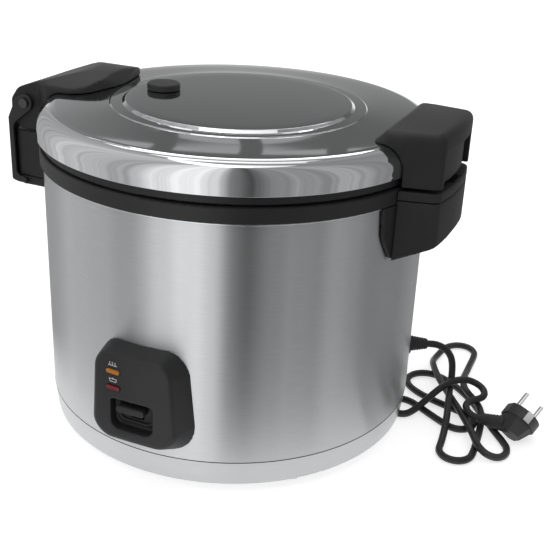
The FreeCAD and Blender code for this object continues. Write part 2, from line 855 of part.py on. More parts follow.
pan_blank = turned("lid_inner_pan_blank", [
    (0, pan_low),
    (pan_radius, pan_low),
    (pan_radius, pan_top),
    (0, pan_top),
])
nodes.append(cut("lid_inner_pan", pan_blank,
                 rod("pan_vent_hole", vent_stem + 1.5, 20.0, vent_x, vent_y, pan_low - 5.0)))
nodes.append(place(turned("vent_grommet", [
    (stem_bore, plateau_z - lid_wall - 2.0),
    (grommet_radius + 3.0, plateau_z - lid_wall - 2.0, 0.8),
    (grommet_radius + 3.0, plateau_z - lid_wall),
    (grommet_radius, plateau_z - lid_wall),
    (grommet_radius, plateau_z),
    (stem_bore, plateau_z),
]), vent_x, vent_y))
nodes.append(place(turned("vent_cap", [
    (0, vent_low - 24.0),
    (vent_stem, vent_low - 24.0, 1.0),
    (vent_stem, vent_low),
    (vent_radius, vent_low, 1.0),
    (vent_radius, vent_top, 2.0),
    (0, vent_top + 0.4),
]), vent_x, vent_y))

# hood of the latch, screwed to the lid
handle_half = cell("handle_half_width")
handle_radius = cell("handle_radius")
handle_corner = cell("handle_corner")
handle_top = cell("handle_top")
handle_seam = cell("handle_seam")
handle_wall = cell("handle_wall")
hood_low = handle_top + cell("hood_gap")
hood_top = cell("hood_top")
hood_wall = cell("hood_wall")
hood_reach = cell("hood_reach")
latch_x = cell("latch_x")
latch_z = cell("latch_z")
latch_pin_radius = cell("latch_pin_radius")


def ring(name, inner, outer, low, high):
    """A plain upright tube about the cooker's axis."""
    wall = rod(name + "_outside", outer, as_size(high) - low, 0, 0, low)
    return cut(name, wall, rod(name + "_inside", inner, as_size(high) - low + 2.0, 0, 0, as_size(low) - 1.0))


def upright(edge, middle):
    """True for an edge that runs straight up."""
    ends = edge.Vertexes
    return len(ends) == 2 and abs(ends[0].Z - ends[1].Z) > 0.9 * edge.Length


def handle_block(name, half, root, radius, corner, start, low, high, side=1):
    """A block whose sides draw in from the body to an outer face that follows its curve."""
    taper = body_radius - 5.0
    outer = as_size(radius) + 4.0
    plan = slab(name + "_sides", "XY_Plane", [
        (side * start, -root), (side * taper, -root), (side * outer, -half),
        (side * outer, half), (side * taper, root), (side * start, root),
    ], low, high)
    blank = shared(name + "_blank", rod(name + "_round", radius, as_size(high) - low, 0, 0, low), plan)
    limit = float(radius) * 0.9
    return softened(name, blank, corner,
                    lambda edge, middle: upright(edge, middle) and abs(middle.x) > limit)


def lid_envelope(name, grow, low):
    """Everything inside the lid's outside, grown by an amount, down to a height."""
    return turned(name, [(0, low), (lid_radius + grow, low), *lid_top(grow)])


def crown(name, top, drop, half, xs):
    """A long cylinder along X that rounds the top of a piece across Y."""
    radius = (half * half + drop * drop) / (2 * drop)
    return rod(name, radius, as_size(xs[1]) - xs[0], xs[0], 0, top - radius, (1, 0, 0))


handle_root = cell("handle_root_half")
hood_plan = handle_block("hood_plan", handle_half, handle_root, handle_radius, handle_corner,
                         hood_reach - 6.0, hood_low, hood_top + 6.0)
hood_side = slab("hood_side", "XZ_Plane", [
    (hood_reach - 4.0, hood_low),
    (hood_reach - 4.0, hood_top - 15.5),
    (hood_reach + 14.0, hood_top + 2.5),
    (handle_radius + 4.0, hood_top + 2.5),
    (handle_radius + 4.0, hood_low),
], -70.0, 70.0)
hood_blank = shared("hood_blank", hood_plan, hood_side,
                    crown("hood_crown", hood_top, as_size(2.0), handle_half,
                          (hood_reach - 10.0, handle_radius + 10.0)))
hood_soft = softened("hood_soft", hood_blank, 7.5,
                     lambda edge, middle: middle.z > float(hood_top) - 11.0 and not upright(edge, middle))
cavity_half = handle_half - hood_wall * 2
cavity_start = lid_radius + 4.0
hood_cavity = shared("hood_cavity", ring("hood_cavity_ring", cavity_start, handle_radius - handle_wall, 240.0,
                                         hood_top - 8.0),
                     block("hood_cavity_sides", (cavity_start - 10.0, handle_radius),
                           (-cavity_half, cavity_half),
                           (240.0, hood_top - 8.0)))
scoop_half = cell("scoop_half_width")
scoop_top = hood_low + cell("scoop_height")
hood_scoop = slab("hood_scoop", "YZ_Plane", [
    (-scoop_half, hood_low - 10.0),
    (scoop_half, hood_low - 10.0),
    (scoop_half, scoop_top, 5.0),
    (-scoop_half, scoop_top, 5.0),
], handle_radius - 14.0, handle_radius + 14.0)
latch_bore = rod("latch_bore", latch_pin_radius + pivot_slack, (cavity_half + 3.0) * 2, latch_x,
                 -cavity_half - 3.0, latch_z, (0, 1, 0))
screw_x = hood_reach + 9.0
hood_screw_half = handle_half * 0.55
lid_screw_z = ring_z - lid_wall - 1.6
lid_screws = []
lid_screw_holes = []
for number, y in enumerate((-hood_screw_half, hood_screw_half)):
    lid_screws.append(upright_screw(f"hood_screw_{number}", screw_x, y, lid_screw_z, 9.0))
    lid_screw_holes.append(rod(f"hood_screw_hole_{number}", screw_bore, 12.0, screw_x, y, lid_screw_z - 3.0))
hood_body = cut("hood_body", hood_soft,
                lid_envelope("hood_lid_room", assembly_gap, 230.0), hood_cavity, hood_scoop, latch_bore,
                *lid_screw_holes)
nodes.append(hood_body)
hood_body.Label = "latch_hood"

# latch lever on its pin, with a return spring
plate_half = scoop_half - 8.0
latch_face = handle_radius - handle_wall - 1.0
latch_plate = cell("latch_plate")
hook_low = handle_seam - 8.3
lever_plate = shared("latch_plate_shape", ring("latch_plate_ring", latch_face - latch_plate, latch_face,
                                               hood_low + 1.6, scoop_top - 1.0),
                     block("latch_plate_sides", (latch_x, handle_radius), (-plate_half, plate_half),
                           (hood_low, scoop_top)))
lever_hub = rod("latch_hub", 4.5, plate_half * 2, latch_x, -plate_half, latch_z, (0, 1, 0))
lever_web = shared("latch_web", ring("latch_web_ring", latch_x, latch_face - latch_plate / 2,
                                             latch_z - 2.0, latch_z + 2.0),
                       block("latch_web_sides", (latch_x - 8.0, handle_radius), (-plate_half, plate_half),
                             (latch_z - 2.0, latch_z + 2.0)))
hook_arm = block("latch_hook_arm", (latch_x - 3.0, latch_x + 1.5), (-6.0, 6.0), (hook_low, latch_z))
strike_start = body_radius + 8.1
strike_wall = 2.0
hook_nose = block("latch_hook_nose", (strike_start + strike_wall + moving_gap, latch_x - 2.0), (-6.0, 6.0),
                  (hook_low, hook_low + 4.0))
lever_blank = joined("latch_lever_blank", lever_plate, lever_hub, lever_web, hook_arm, hook_nose)
nodes.append(cut("latch_lever", lever_blank, latch_bore))
nodes.append(rod("latch_pin", latch_pin_radius, (cavity_half + 2.8) * 2, latch_x, -cavity_half - 2.8, latch_z,
                 (0, 1, 0)))
latch_coil = coil(float(latch_pin_radius) + 1.2, 0.5, 0.0, 6.4, 5)
latch_coil.Placement = Placement(Vector(float(latch_x), float(plate_half) + 0.8, float(latch_z)),
                                 Rotation(Vector(0, 0, 1), Vector(0, 1, 0)))
nodes.append(shaped("latch_spring", latch_coil))

# fixed handle under the hood
handle_bottom = cell("handle_bottom")
base_out = body_radius + cell("handle_base_wall")
base_top_z = rim_low - seam_gap
base_half = handle_root + cell("handle_base_spread")
base_side = slab("latch_base_side", "YZ_Plane", [
    (-handle_root, handle_bottom - 1.0, 6.0),
    (handle_root, handle_bottom - 1.0, 6.0),
    (base_half - 2.0, handle_bottom + 20.0, 24.0),
    (base_half, base_top_z),
    (-base_half, base_top_z),
    (2.0 - base_half, handle_bottom + 20.0, 24.0),
], 100.0, 230.0)
base_plate = shared("latch_base_plate", base_side,
                    ring("latch_base_ring", body_radius + assembly_gap, base_out, handle_bottom - 1.0,
                         base_top_z))
base_block = cut("latch_base_block",
                 block("latch_base_stem", (body_radius - 10.0, strike_start - assembly_gap), (-12.0, 12.0),
                       (handle_seam - 22.0, base_top_z)),
                 rod("latch_base_bore", body_radius + assembly_gap, 200.0, 0, 0, 150.0))
base_holes = [spoke(f"latch_base_bore_{number}", screw_radius, body_radius - 5.0, body_radius + 9.0, angle, z)
              for number, (angle, z) in enumerate(shell_screws["latch_handle_screws"])]
base_bosses = [spoke(f"latch_base_boss_{number}", 4.0, body_radius + 1.5, body_radius + 8.0, angle, z)
          for number, (angle, z) in enumerate(shell_screws["latch_handle_screws"])]
nodes.append(cut("latch_handle_base", joined("latch_base_blank", base_plate, base_block, *base_bosses),
                 *base_holes))

grip_start = base_out + assembly_gap
grip_plan = handle_block("grip_plan", handle_half, handle_root, handle_radius, handle_corner, 150.0,
                         handle_bottom - 10.0, handle_seam - seam_gap)
grip_slope = cell("handle_rise") / (handle_radius - body_radius)
grip_side = slab("grip_side", "XZ_Plane", [
    (150.0, handle_bottom - grip_slope * (body_radius - 150.0)),
    (handle_radius + 0.5, handle_bottom + cell("handle_rise"), 8.0),
    (handle_radius + 2.0, handle_seam),
    (150.0, handle_seam),
], -80.0, 80.0)
grip_solid = shared("grip_solid", grip_plan, grip_side)
grip_hollow = shared("grip_hollow", rod("grip_hollow_round", handle_radius - handle_wall, 80.0, 0, 0,
                                        handle_seam - seam_gap - handle_wall - 80.0),
                     block("grip_hollow_sides", (150.0, handle_radius),
                           (handle_wall - handle_half, handle_half - handle_wall),
                           (handle_bottom - 40.0, handle_seam - seam_gap - handle_wall)))
hook_slot = block("hook_slot", (strike_start - 1.0, handle_radius - handle_wall), (-12.0, 12.0),
                  (handle_seam - 20.0, handle_top + 5.0))
nodes.append(cut("latch_handle_grip", grip_solid, rod("grip_inside", grip_start, 120.0, 0, 0, 180.0),
                 grip_hollow,
                 hook_slot))
cap_plan = handle_block("cap_plan", handle_half, handle_root, handle_radius, handle_corner, 150.0,
                        handle_seam, handle_top)
cap_soft = softened("cap_soft", cap_plan, 1.2,
                    lambda edge, middle: abs(middle.z - float(handle_top)) < 0.01 and middle.x > 160)
nodes.append(cut("latch_handle_cap", cap_soft, rod("cap_inside", rim_radius + 0.6, 60.0, 0, 0, 230.0),
                 hook_slot))
nodes.append(block("strike_plate", (strike_start, strike_start + strike_wall), (-10.0, 10.0),
                   (handle_seam - 18.0, handle_seam + 3.5)))

# hinge arm on the lid
hinge_x = cell("hinge_x")
hinge_z = cell("hinge_z")
hinge_pin_radius = cell("hinge_pin_radius")
arm_half = cell("arm_half_width")
arm_end = cell("arm_end")
arm_crest = cell("arm_top")
arm_root = cell("arm_root_half")
arm_plan = slab("arm_plan", "XY_Plane", [
    (hinge_x - 40.0, -arm_half),
    (hinge_x + 14.0, -arm_half, 12.0),
    (hinge_x + 30.0, -arm_root, 12.0),
    (-arm_end - 10.0, -arm_root, 22.0),
    (-arm_end + 2.0, 0, 80.0),
    (-arm_end - 10.0, arm_root, 22.0),
    (hinge_x + 30.0, arm_root, 12.0),
    (hinge_x + 14.0, arm_half, 12.0),
    (hinge_x - 40.0, arm_half),
], 230.0, 330.0)
arm_side = slab("arm_side", "XZ_Plane", [
    (-arm_end, hinge_z - 19.1),
    (hinge_x + 19.8, hinge_z - 19.1),
    (hinge_x + 14.5, hinge_z - 23.4),
    (hinge_x + 7.5, hinge_z - 26.5),
    (hinge_x - 7.3, hinge_z - 26.5),
    (hinge_x - 17.0, hinge_z - 21.0, 4.0),
    (hinge_x - 18.5, hinge_z + 1.0, 12.0),
    (hinge_x - 10.0, hinge_z + 13.0, 14.0),
    (hinge_x + 15.5, arm_crest - 8.0, 30.0),
    (hinge_x + 44.0, arm_crest - 0.8, 60.0),
    (-arm_end - 7.0, arm_crest + 0.4),
    (-arm_end + 2.0, arm_crest - 12.0),
], -80.0, 80.0)
arm_blank = shared("arm_blank", arm_plan, arm_side,
                   crown("arm_crown", arm_crest, as_size(9.0), arm_root, (-260.0, -80.0)))
arm_hollow = cut("arm_hollow",
                 block("arm_hollow_box", (hinge_x - 13.0, -lid_radius - 4.0),
                       (-arm_half + 4.0, arm_half - 4.0),
                       (hinge_z - 50.0, hinge_z + 8.0)),
                 rod("arm_hollow_hub", hinge_pin_radius + 4.0, arm_half * 4, hinge_x, -arm_half * 2,
                     hinge_z, (0, 1, 0)))
hinge_bore = rod("hinge_bore", hinge_pin_radius + pivot_slack, 160.0, hinge_x, -80.0, hinge_z, (0, 1, 0))
arm_screw_x = -arm_end - 34.0
for number, y in enumerate((-hood_screw_half, hood_screw_half)):
    lid_screws.append(upright_screw(f"arm_screw_{number}", arm_screw_x, y, lid_screw_z, 9.0))
    lid_screw_holes.append(rod(f"arm_screw_hole_{number}", screw_bore, 12.0, arm_screw_x, y,
                               lid_screw_z - 3.0))
nodes.append(cut("hinge_arm", arm_blank, lid_envelope("arm_lid_room", assembly_gap, 230.0), arm_hollow,
                 hinge_bore,
                 *lid_screw_holes[2:]))
nodes.append(group("lid_screws", *lid_screws))
vent_hole = rod("lid_vent_hole", grommet_radius + assembly_gap / 2, 40.0, vent_x, vent_y, plateau_z - 10.0)
nodes.append(cut("lid_shell", lid_blank, vent_hole, *lid_screw_holes))

# fixed handle on the hinge side: tray, cover and the yoke with the two ears
rear_half = cell("rear_half_width")
rear_radius = cell("rear_radius")
rear_bottom = cell("rear_bottom")
rear_split = cell("rear_split")
rear_top = cell("rear_top")
rear_wall = cell("rear_wall")
rear_back = body_radius + 5.0
tray_plan = handle_block("tray_plan", rear_half - 0.3, rear_half - 0.3, rear_radius, 10.0, 150.0, rear_bottom,
                         rear_split, -1)
tray_soft = softened("tray_soft", tray_plan, 5.0,
                     lambda edge, middle: abs(middle.z - float(rear_bottom)) < 0.01 and middle.x < -160)
tray_hollow = shared("tray_hollow",
                     rod("tray_hollow_round", rear_radius - rear_wall, 40.0, 0, 0, rear_bottom + rear_wall),
                     block("tray_hollow_sides", (-rear_radius, -rear_back),
                           (rear_wall - rear_half, rear_half - rear_wall),
                           (rear_bottom + rear_wall, rear_split + 10.0)))
tray_back = shared("tray_back", ring("tray_back_ring", body_radius + assembly_gap, rear_back,
                                     rear_bottom + 4.0, base_top_z),
                   block("tray_back_sides", (-240.0, -100.0),
                         (2 * rear_wall - rear_half, rear_half - 2 * rear_wall),
                         (rear_bottom + 4.0, base_top_z)))
rear_holes = [spoke(f"rear_bore_{number}", screw_radius, body_radius - 5.0, body_radius + 6.0, angle, z)
              for number, (angle, z) in enumerate(shell_screws["rear_handle_screws"])]
tray_floor = cut("tray_floor", tray_soft, tray_hollow)
nodes.append(cut("rear_handle_tray", joined("tray_blank", tray_floor, tray_back),
                 rod("tray_inside", body_radius + assembly_gap, 120.0, 0, 0, 180.0), *rear_holes))
cover_low = rear_split + seam_gap
cover_plan = handle_block("cover_plan", rear_half, rear_half, rear_radius, 10.0, 150.0, cover_low, rear_top,
                          -1)
cover_hollow = shared("cover_hollow", rod("cover_hollow_round", rear_radius - rear_wall, 100.0, 0, 0,
                                          rear_top - rear_wall - 100.0),
                      block("cover_hollow_sides", (-rear_radius, -100.0),
                            (rear_wall - rear_half, rear_half - rear_wall),
                            (cover_low - 10.0, rear_top - rear_wall)))
nodes.append(cut("rear_handle_cover", cover_plan,
                 rod("cover_inside", rear_back + assembly_gap, 120.0, 0, 0, 180.0),
                 cover_hollow))
yoke_wall = cell("yoke_wall")
ear_radius = cell("ear_radius")
ear_start = rear_half + assembly_gap * 2
ear_end = ear_start + yoke_wall + 0.5
skin_inside = rear_radius + assembly_gap * 2
skin_radius = skin_inside + yoke_wall
ears = []
for number, (low, high) in enumerate(((-ear_end, -ear_start), (ear_start, ear_end))):
    ears.append(slab(f"yoke_strap_{number}", "XZ_Plane", [
        (hinge_x + 1.0, hinge_z + ear_radius),
        (hinge_x - 10.0, hinge_z + 4.0, 6.0),
        (hinge_x - 21.0, hinge_z - 19.0, 12.0),
        (hinge_x - 25.5, hinge_z - 60.0),
        (hinge_x - 23.5, rear_bottom + 5.0, 12.0),
        (hinge_x - 3.0, rear_bottom + 3.0),
        (hinge_x - 3.0, rear_bottom + 8.5),
        (hinge_x - 14.0, rear_bottom + 10.5, 6.0),
        (hinge_x - 14.5, hinge_z - 22.0, 10.0),
        (hinge_x + 3.0, hinge_z - ear_radius),
    ], low, high))
    ears.append(rod(f"yoke_eye_{number}", ear_radius, as_size(high) - low, hinge_x, low, hinge_z, (0, 1, 0)))
skin = shared("yoke_skin", ring("yoke_skin_ring", skin_inside, skin_radius, rear_split + 1.0, rear_top),
              block("yoke_skin_sides", (-240.0, -100.0), (-ear_end, ear_end), (rear_split, rear_top)))
yoke_blank = joined("yoke_blank", skin, *ears)
nodes.append(cut("hinge_yoke",
                 shared("yoke_round", yoke_blank, rod("yoke_limit", skin_radius, 200.0, 0, 0, 150.0)),
                 hinge_bore))
pin_shaft = rod("hinge_pin_shaft", hinge_pin_radius, ear_end * 2 + 1.0, hinge_x, -ear_end - 0.5, hinge_z,
                (0, 1, 0))
pin_heads = [rod(f"hinge_pin_head_{number}", hinge_pin_radius + 1.6, 2.2, hinge_x, y, hinge_z, (0, 1, 0))
             for number, y in enumerate((-ear_end - 2.3, ear_end + 0.1))]
nodes.append(joined("hinge_pin", pin_shaft, *pin_heads))

# control panel: drawn-in box with a curved face, a pocket for the lever and two lamps
panel_half = cell("panel_half_width")
panel_wall = cell("panel_wall")
panel_face = body_radius + cell("panel_depth")
panel_corner = cell("panel_corner")
face_corner = cell("panel_face_corner")
draft = cell("panel_draft")


def panel_loft(name, inset):
    """The panel's outside, drawn in towards the front; an inset gives its inside."""
    body = new_body(name)
    low = panel_low + inset
    high = panel_high - inset
    half = panel_half - inset
    rear = outline(body, "XZ_Plane", [
        (-half, low, panel_corner - inset),
        (half, low, panel_corner - inset),
        (half, high, panel_corner - inset),
        (-half, high, panel_corner - inset),
    ], body_radius - 6.0)
    low_face = low + cell("panel_draft_bottom")
    high_face = high - cell("panel_draft_top")
    front = outline(body, "XZ_Plane", [
        (draft - half, low_face, face_corner - inset),
        (half - draft, low_face, face_corner - inset),
        (half - draft, high_face, face_corner - inset),
        (draft - half, high_face, face_corner - inset),
    ], panel_face + 1.0)
    loft = body.newObject("PartDesign::AdditiveLoft", name + "_loft")
    loft.Profile = rear
    loft.Sections = [front]
    loft.Ruled = True
    return body


panel_solid = shared("panel_solid", panel_loft("panel_outside", as_size(0.0)),
                     rod("panel_face_round", panel_face, 200.0))
panel_soft = softened("panel_soft", panel_solid, cell("panel_edge"),
                      lambda edge, middle: math.hypot(middle.x, middle.y) > float(panel_face) - 0.05)
panel_hollow = shared("panel_hollow", panel_loft("panel_inside", panel_wall),
                      rod("panel_hollow_round", panel_face - panel_wall, 200.0))
panel_shell = cut("panel_shell", panel_soft, rod("panel_back", body_radius + assembly_gap, 200.0),
                  panel_hollow)
pocket_half = cell("pocket_half_width")
pocket_low = cell("pocket_low")
pocket_high = cell("pocket_high")
pocket_depth = cell("pocket_depth")


def pocket_slab(name, grow, rear, front):
    return slab(name, "XZ_Plane", [
        (-pocket_half - grow, pocket_low - grow, 8.0 + grow),
        (pocket_half + grow, pocket_low - grow, 8.0 + grow),
        (pocket_half + grow, pocket_high + grow, 4.0 + grow),
        (-pocket_half - grow, pocket_high + grow, 4.0 + grow),
    ], front, rear)


pocket_floor = panel_face - pocket_depth
pocket_walls = shared("pocket_walls",
                      pocket_slab("pocket_outside", 2.2, -pocket_floor + 2.0, -panel_face - 5.0),
                      rod("pocket_round", panel_face - panel_wall / 2, 200.0))
pocket_room = pocket_slab("pocket_inside", 0.0, -pocket_floor, -panel_face - 5.0)
bosses = []
boss_bores = []
for number, (angle, z) in enumerate(shell_screws["panel_screws"]):
    bosses.append(spoke(f"panel_boss_{number}", 3.6, body_radius + assembly_gap, panel_face - panel_wall,
                        angle, z))
    boss_bores.append(spoke(f"panel_bore_{number}", screw_radius, body_radius - 4.0, body_radius + 6.0,
                            angle, z))
bosses_kept = shared("panel_bosses", group("panel_boss_group", *bosses), panel_soft)
lever_half = cell("lever_half_width")
lever_height = cell("lever_height")
lever_reach = cell("lever_reach")
lever_travel = cell("lever_travel")
neck_half = 5.0
neck_tall = 4.0
lever_slot = block("lever_slot", (-neck_half - 1.2, neck_half + 1.2), (-panel_face, -body_radius),
                   (lever_z - lever_travel - neck_tall / 2 - 2.0, lever_z + neck_tall / 2 + 2.0))
lamp_x = cell("lamp_x")
lamp_half_length = cell("lamp_half_length")
lamp_half_height = cell("lamp_half_height")


def lamp_slab(name, z, grow, rear, front):
    high = lamp_half_height + grow
    return slab(name, "XZ_Plane", [
        (lamp_x - lamp_half_length - grow, z - high, high * 0.96),
        (lamp_x + lamp_half_length + grow, z - high, high * 0.96),
        (lamp_x + lamp_half_length + grow, z + high, high * 0.96),
        (lamp_x - lamp_half_length - grow, z + high, high * 0.96),
    ], front, rear)


lamp_holes = []
pilots = []
for lamp in ("warm", "cook"):
    z = cell(f"lamp_{lamp}_z")
    lamp_holes.append(lamp_slab(f"lamp_hole_{lamp}", z, assembly_gap, -panel_face + 12.0, -panel_face - 5.0))
    front = shared(f"lamp_front_{lamp}",
                   lamp_slab(f"lamp_slab_{lamp}", z, 0.0, -panel_face + 5.0, -panel_face - 5.0),
                   rod(f"lamp_round_{lamp}", panel_face + 0.7, 200.0))
    back = shared(f"lamp_flange_{lamp}",
                  lamp_slab(f"lamp_flange_slab_{lamp}", z, 1.4, -panel_face + 5.6, -panel_face),
                  rod(f"lamp_seat_{lamp}", panel_face - panel_wall - assembly_gap, 200.0))
    nodes.append(joined(f"lamp_lens_{lamp}", front, back))
    pilots.append(rod(f"pilot_{lamp}", 2.5, 10.0, lamp_x, -panel_face + 16.0, z, (0, -1, 0)))
nodes.append(group("pilot_lamps", *pilots))
nodes.append(cut("control_panel", joined("panel_filled", panel_shell, pocket_walls, bosses_kept), pocket_room,
                 lever_slot, *lamp_holes, *boss_bores))
lever_tab = slab("lever_tab", "XZ_Plane", [
    (-lever_half, lever_z - lever_height / 2, 2.4),
    (lever_half, lever_z - lever_height / 2, 2.4),
    (lever_half, lever_z + lever_height / 2, 2.4),
    (-lever_half, lever_z + lever_height / 2, 2.4),
], -lever_reach, -pocket_floor - 2.4)
lever_neck = block("lever_neck", (-neck_half, neck_half), (-pocket_floor - 3.0, leg_y - arm_wall / 2),
                   (lever_z - neck_tall / 2, lever_z + neck_tall / 2))
nodes.append(joined("cook_lever", lever_tab, lever_neck))

# mains lead: gland in the shell, free lead, hank on the floor and an angled two-pin plug
cord_radius = cell("cord_radius")
boot_start = body_radius + 3.0
boot_end = boot_start + cell("boot_length")
gland = turned("cord_gland", [
    (0, shell_bore - 3.0),
    (gland_radius + 2.5, shell_bore - 3.0),
    (gland_radius + 2.5, shell_bore - 0.4),
    (gland_radius, shell_bore - 0.4),
    (gland_radius, body_radius + assembly_gap),
    (gland_radius + 3.0, body_radius + assembly_gap),
    (gland_radius + 3.0, boot_start, 0.8),
    (gland_radius, boot_start),
    (cord_radius + 1.6, boot_end, 0.6),
    (0, boot_end),
])
outward = Vector(float(cosine(gland_angle)), float(sine(gland_angle)), 0)
nodes.append(place(gland, 0, 0, gland_z, Rotation(Vector(0, 0, 1), outward)))
hank_top = cell("hank_height")

# route of the lead in the upright plane through the gland: steps outwards and down from the boot
lead_steps = [(0.0, 0.0), (7.6, 0.0), (7.3, -2.4), (6.2, -4.6), (4.5, -6.4), (2.4, -7.5), (0.9, -12.2)]
lead_route = []
out, up = float(boot_end), float(gland_z)
for step_out, step_up in lead_steps:
    out += step_out
    up += step_up
    lead_route.append(outward * out + Vector(0, 0, up))
lead_route.append(outward * out + Vector(0, 0, float(hank_top)))


def cord_tube(route, radius):
    """Straight runs joined by the largest arcs that their runs leave room for."""
    edges = []
    length = 0.0
    start = route[0]
    for before, corner, after in zip(route, route[1:], route[2:]):
        back = before - corner
        ahead = after - corner
        half_turn = (math.pi - back.getAngle(ahead)) / 2
        trim = 0.45 * min(back.Length, ahead.Length)
        bend = trim / math.tan(half_turn)
        into = corner + back.normalize() * trim
        leaving = corner + ahead.normalize() * trim
        inwards = (back + ahead).normalize()
        middle = corner + inwards * (bend / math.cos(half_turn) - bend)
        edges.append(Part.LineSegment(start, into).toShape())
        edges.append(Part.Arc(into, middle, leaving).toShape())
        length += (into - start).Length + bend * 2 * half_turn
        start = leaving
        print(f"cord bend radius {bend:.1f}, turn {math.degrees(2 * half_turn):.0f}")
    edges.append(Part.LineSegment(start, route[-1]).toShape())
    length += (route[-1] - start).Length
    circle = Part.Wire(Part.makeCircle(radius, route[0], route[1] - route[0]))
    tube = Part.Wire(edges).makePipeShell([circle], True, False)
    share = tube.Volume / (math.pi * radius ** 2 * length)
    print(f"cord tube length {length:.1f}, volume over section times length {share:.4f}")
    return tube


nodes.append(shaped("cord_lead", cord_tube(lead_route, float(cord_radius))))
hank_low = slab("hank_loops", "XY_Plane", [
    (178.0, 24.0, 6.0), (206.0, 26.0, 8.0), (219.0, 6.0, 12.0), (224.0, -22.0, 5.0), (238.0, -25.0, 6.0),
    (246.0, 8.0, 10.0), (268.0, -4.0, 6.0), (280.0, 4.0, 8.0), (276.0, 28.0, 10.0), (250.0, 62.0, 10.0),
    (240.0, 92.0, 10.0), (224.0, 112.0, 10.0), (214.0, 150.0, 20.0), (212.0, 196.0, 12.0),
    (194.0, 206.0, 10.0),
    (172.0, 186.0, 15.0), (169.0, 140.0, 10.0), (155.0, 118.0, 8.0), (158.0, 96.0, 8.0), (168.0, 68.0, 8.0),
], 0.3, cord_radius * 2 + 0.4)
hank_core = slab("hank_core", "XY_Plane", [
    (196.0, 34.0, 8.0), (240.0, 26.0, 8.0), (247.0, 50.0, 8.0), (238.0, 88.0, 8.0), (222.0, 110.0, 8.0),
    (196.0, 104.0, 8.0), (190.0, 70.0, 8.0),
], 0.3, hank_top)
nodes.append(joined("cord_hank", hank_low, hank_core))

plug_face = Vector(285.0, 53.0, 22.8)
plug_ahead = Vector(0.37, 0.756, 0.54).normalize()
pin_line = Vector(0.793, 0.046, -0.607)
pin_line = (pin_line - plug_ahead * pin_line.dot(plug_ahead)).normalize()
plug_pose = Placement(plug_face, Rotation(pin_line, Vector(0, 0, 0), plug_ahead, "ZXY"))
plug_radius = float(cell("plug_radius"))
plug_depth = float(cell("plug_depth"))
neck_tip = plug_pose.inverse().multVec(Vector(248.0, 42.5, 14.0))
neck_root = Vector(0, 0, -plug_depth * 0.62)
neck_way = neck_tip - neck_root
plug_disc = Part.makeCylinder(plug_radius, plug_depth * 0.45, Vector(0, 0, -plug_depth * 0.45))
flat = plug_radius * 0.92
plug_disc = plug_disc.common(Part.makeBox(flat * 2, plug_radius * 2, plug_depth,
                                          Vector(-flat, -plug_radius, -plug_depth)))


def plug_section(half, z):
    """Square with its corners cut off, across the plug."""
    cut_off = half * 0.55
    ring = [(half, cut_off), (cut_off, half), (-cut_off, half), (-half, cut_off), (-half, -cut_off),
            (-cut_off, -half), (cut_off, -half), (half, -cut_off), (half, cut_off)]
    return Part.makePolygon([Vector(x, y, z) for x, y in ring])


plug_tail = Part.makeLoft([plug_section(plug_radius * 0.86, -plug_depth * 0.4),
                           plug_section(plug_radius * 0.58, -plug_depth)], True, True)
plug_neck = Part.makeCone(plug_radius * 0.5, float(cord_radius) + 1.7, neck_way.Length, neck_root, neck_way)
plug_solid = plug_disc.fuse([plug_tail, plug_neck]).removeSplitter()
pin_reach = float(cell("pin_length"))
pin_half = float(cell("pin_spacing")) / 2
prong_radius = float(cell("pin_radius"))
prongs = []
for side in (-1, 1):
    prong = Part.makeCylinder(prong_radius, pin_reach + 6.0, Vector(side * pin_half, 0, -6.0))
    prongs.append(prong.makeFillet(prong_radius * 0.6,
                                   [edge for edge in prong.Edges if edge.CenterOfMass.z > 1]))
clips = []
for side in (-1, 1):
    clips.append(Part.makeBox(7.0, 1.4, 10.6, Vector(-3.5, side * (plug_radius - 0.4) - 0.7, -10.2)))
plug_solid = plug_solid.cut(Part.makeCompound(prongs + clips))
for name, shape in (("plug_body", plug_solid), ("plug_pins", Part.makeCompound(prongs)),
                    ("plug_earth_clips", Part.makeCompound(clips))):
    piece = shaped(name, shape)
    piece.Placement = plug_pose
    nodes.append(piece)

# every piece must be sound before it is written
doc.recompute()
for thing in doc.Objects:
    if "Invalid" in thing.State or "Error" in thing.State:
        raise RuntimeError(f"{thing.Label} did not recompute: {thing.State}")
os.makedirs("parts", exist_ok=True)
for node in nodes:
    shape = node.Shape
    if shape.isNull() or not shape.isValid() or not shape.Solids:
        raise RuntimeError(f"{node.Label} has no valid solid")
    shape.exportStep(f"parts/{node.Label}.step")
print(len(nodes), "pieces written")
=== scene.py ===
import bmesh
import bpy
import json
import math
from mathutils import Matrix, Vector
from mathutils.bvhtree import BVHTree

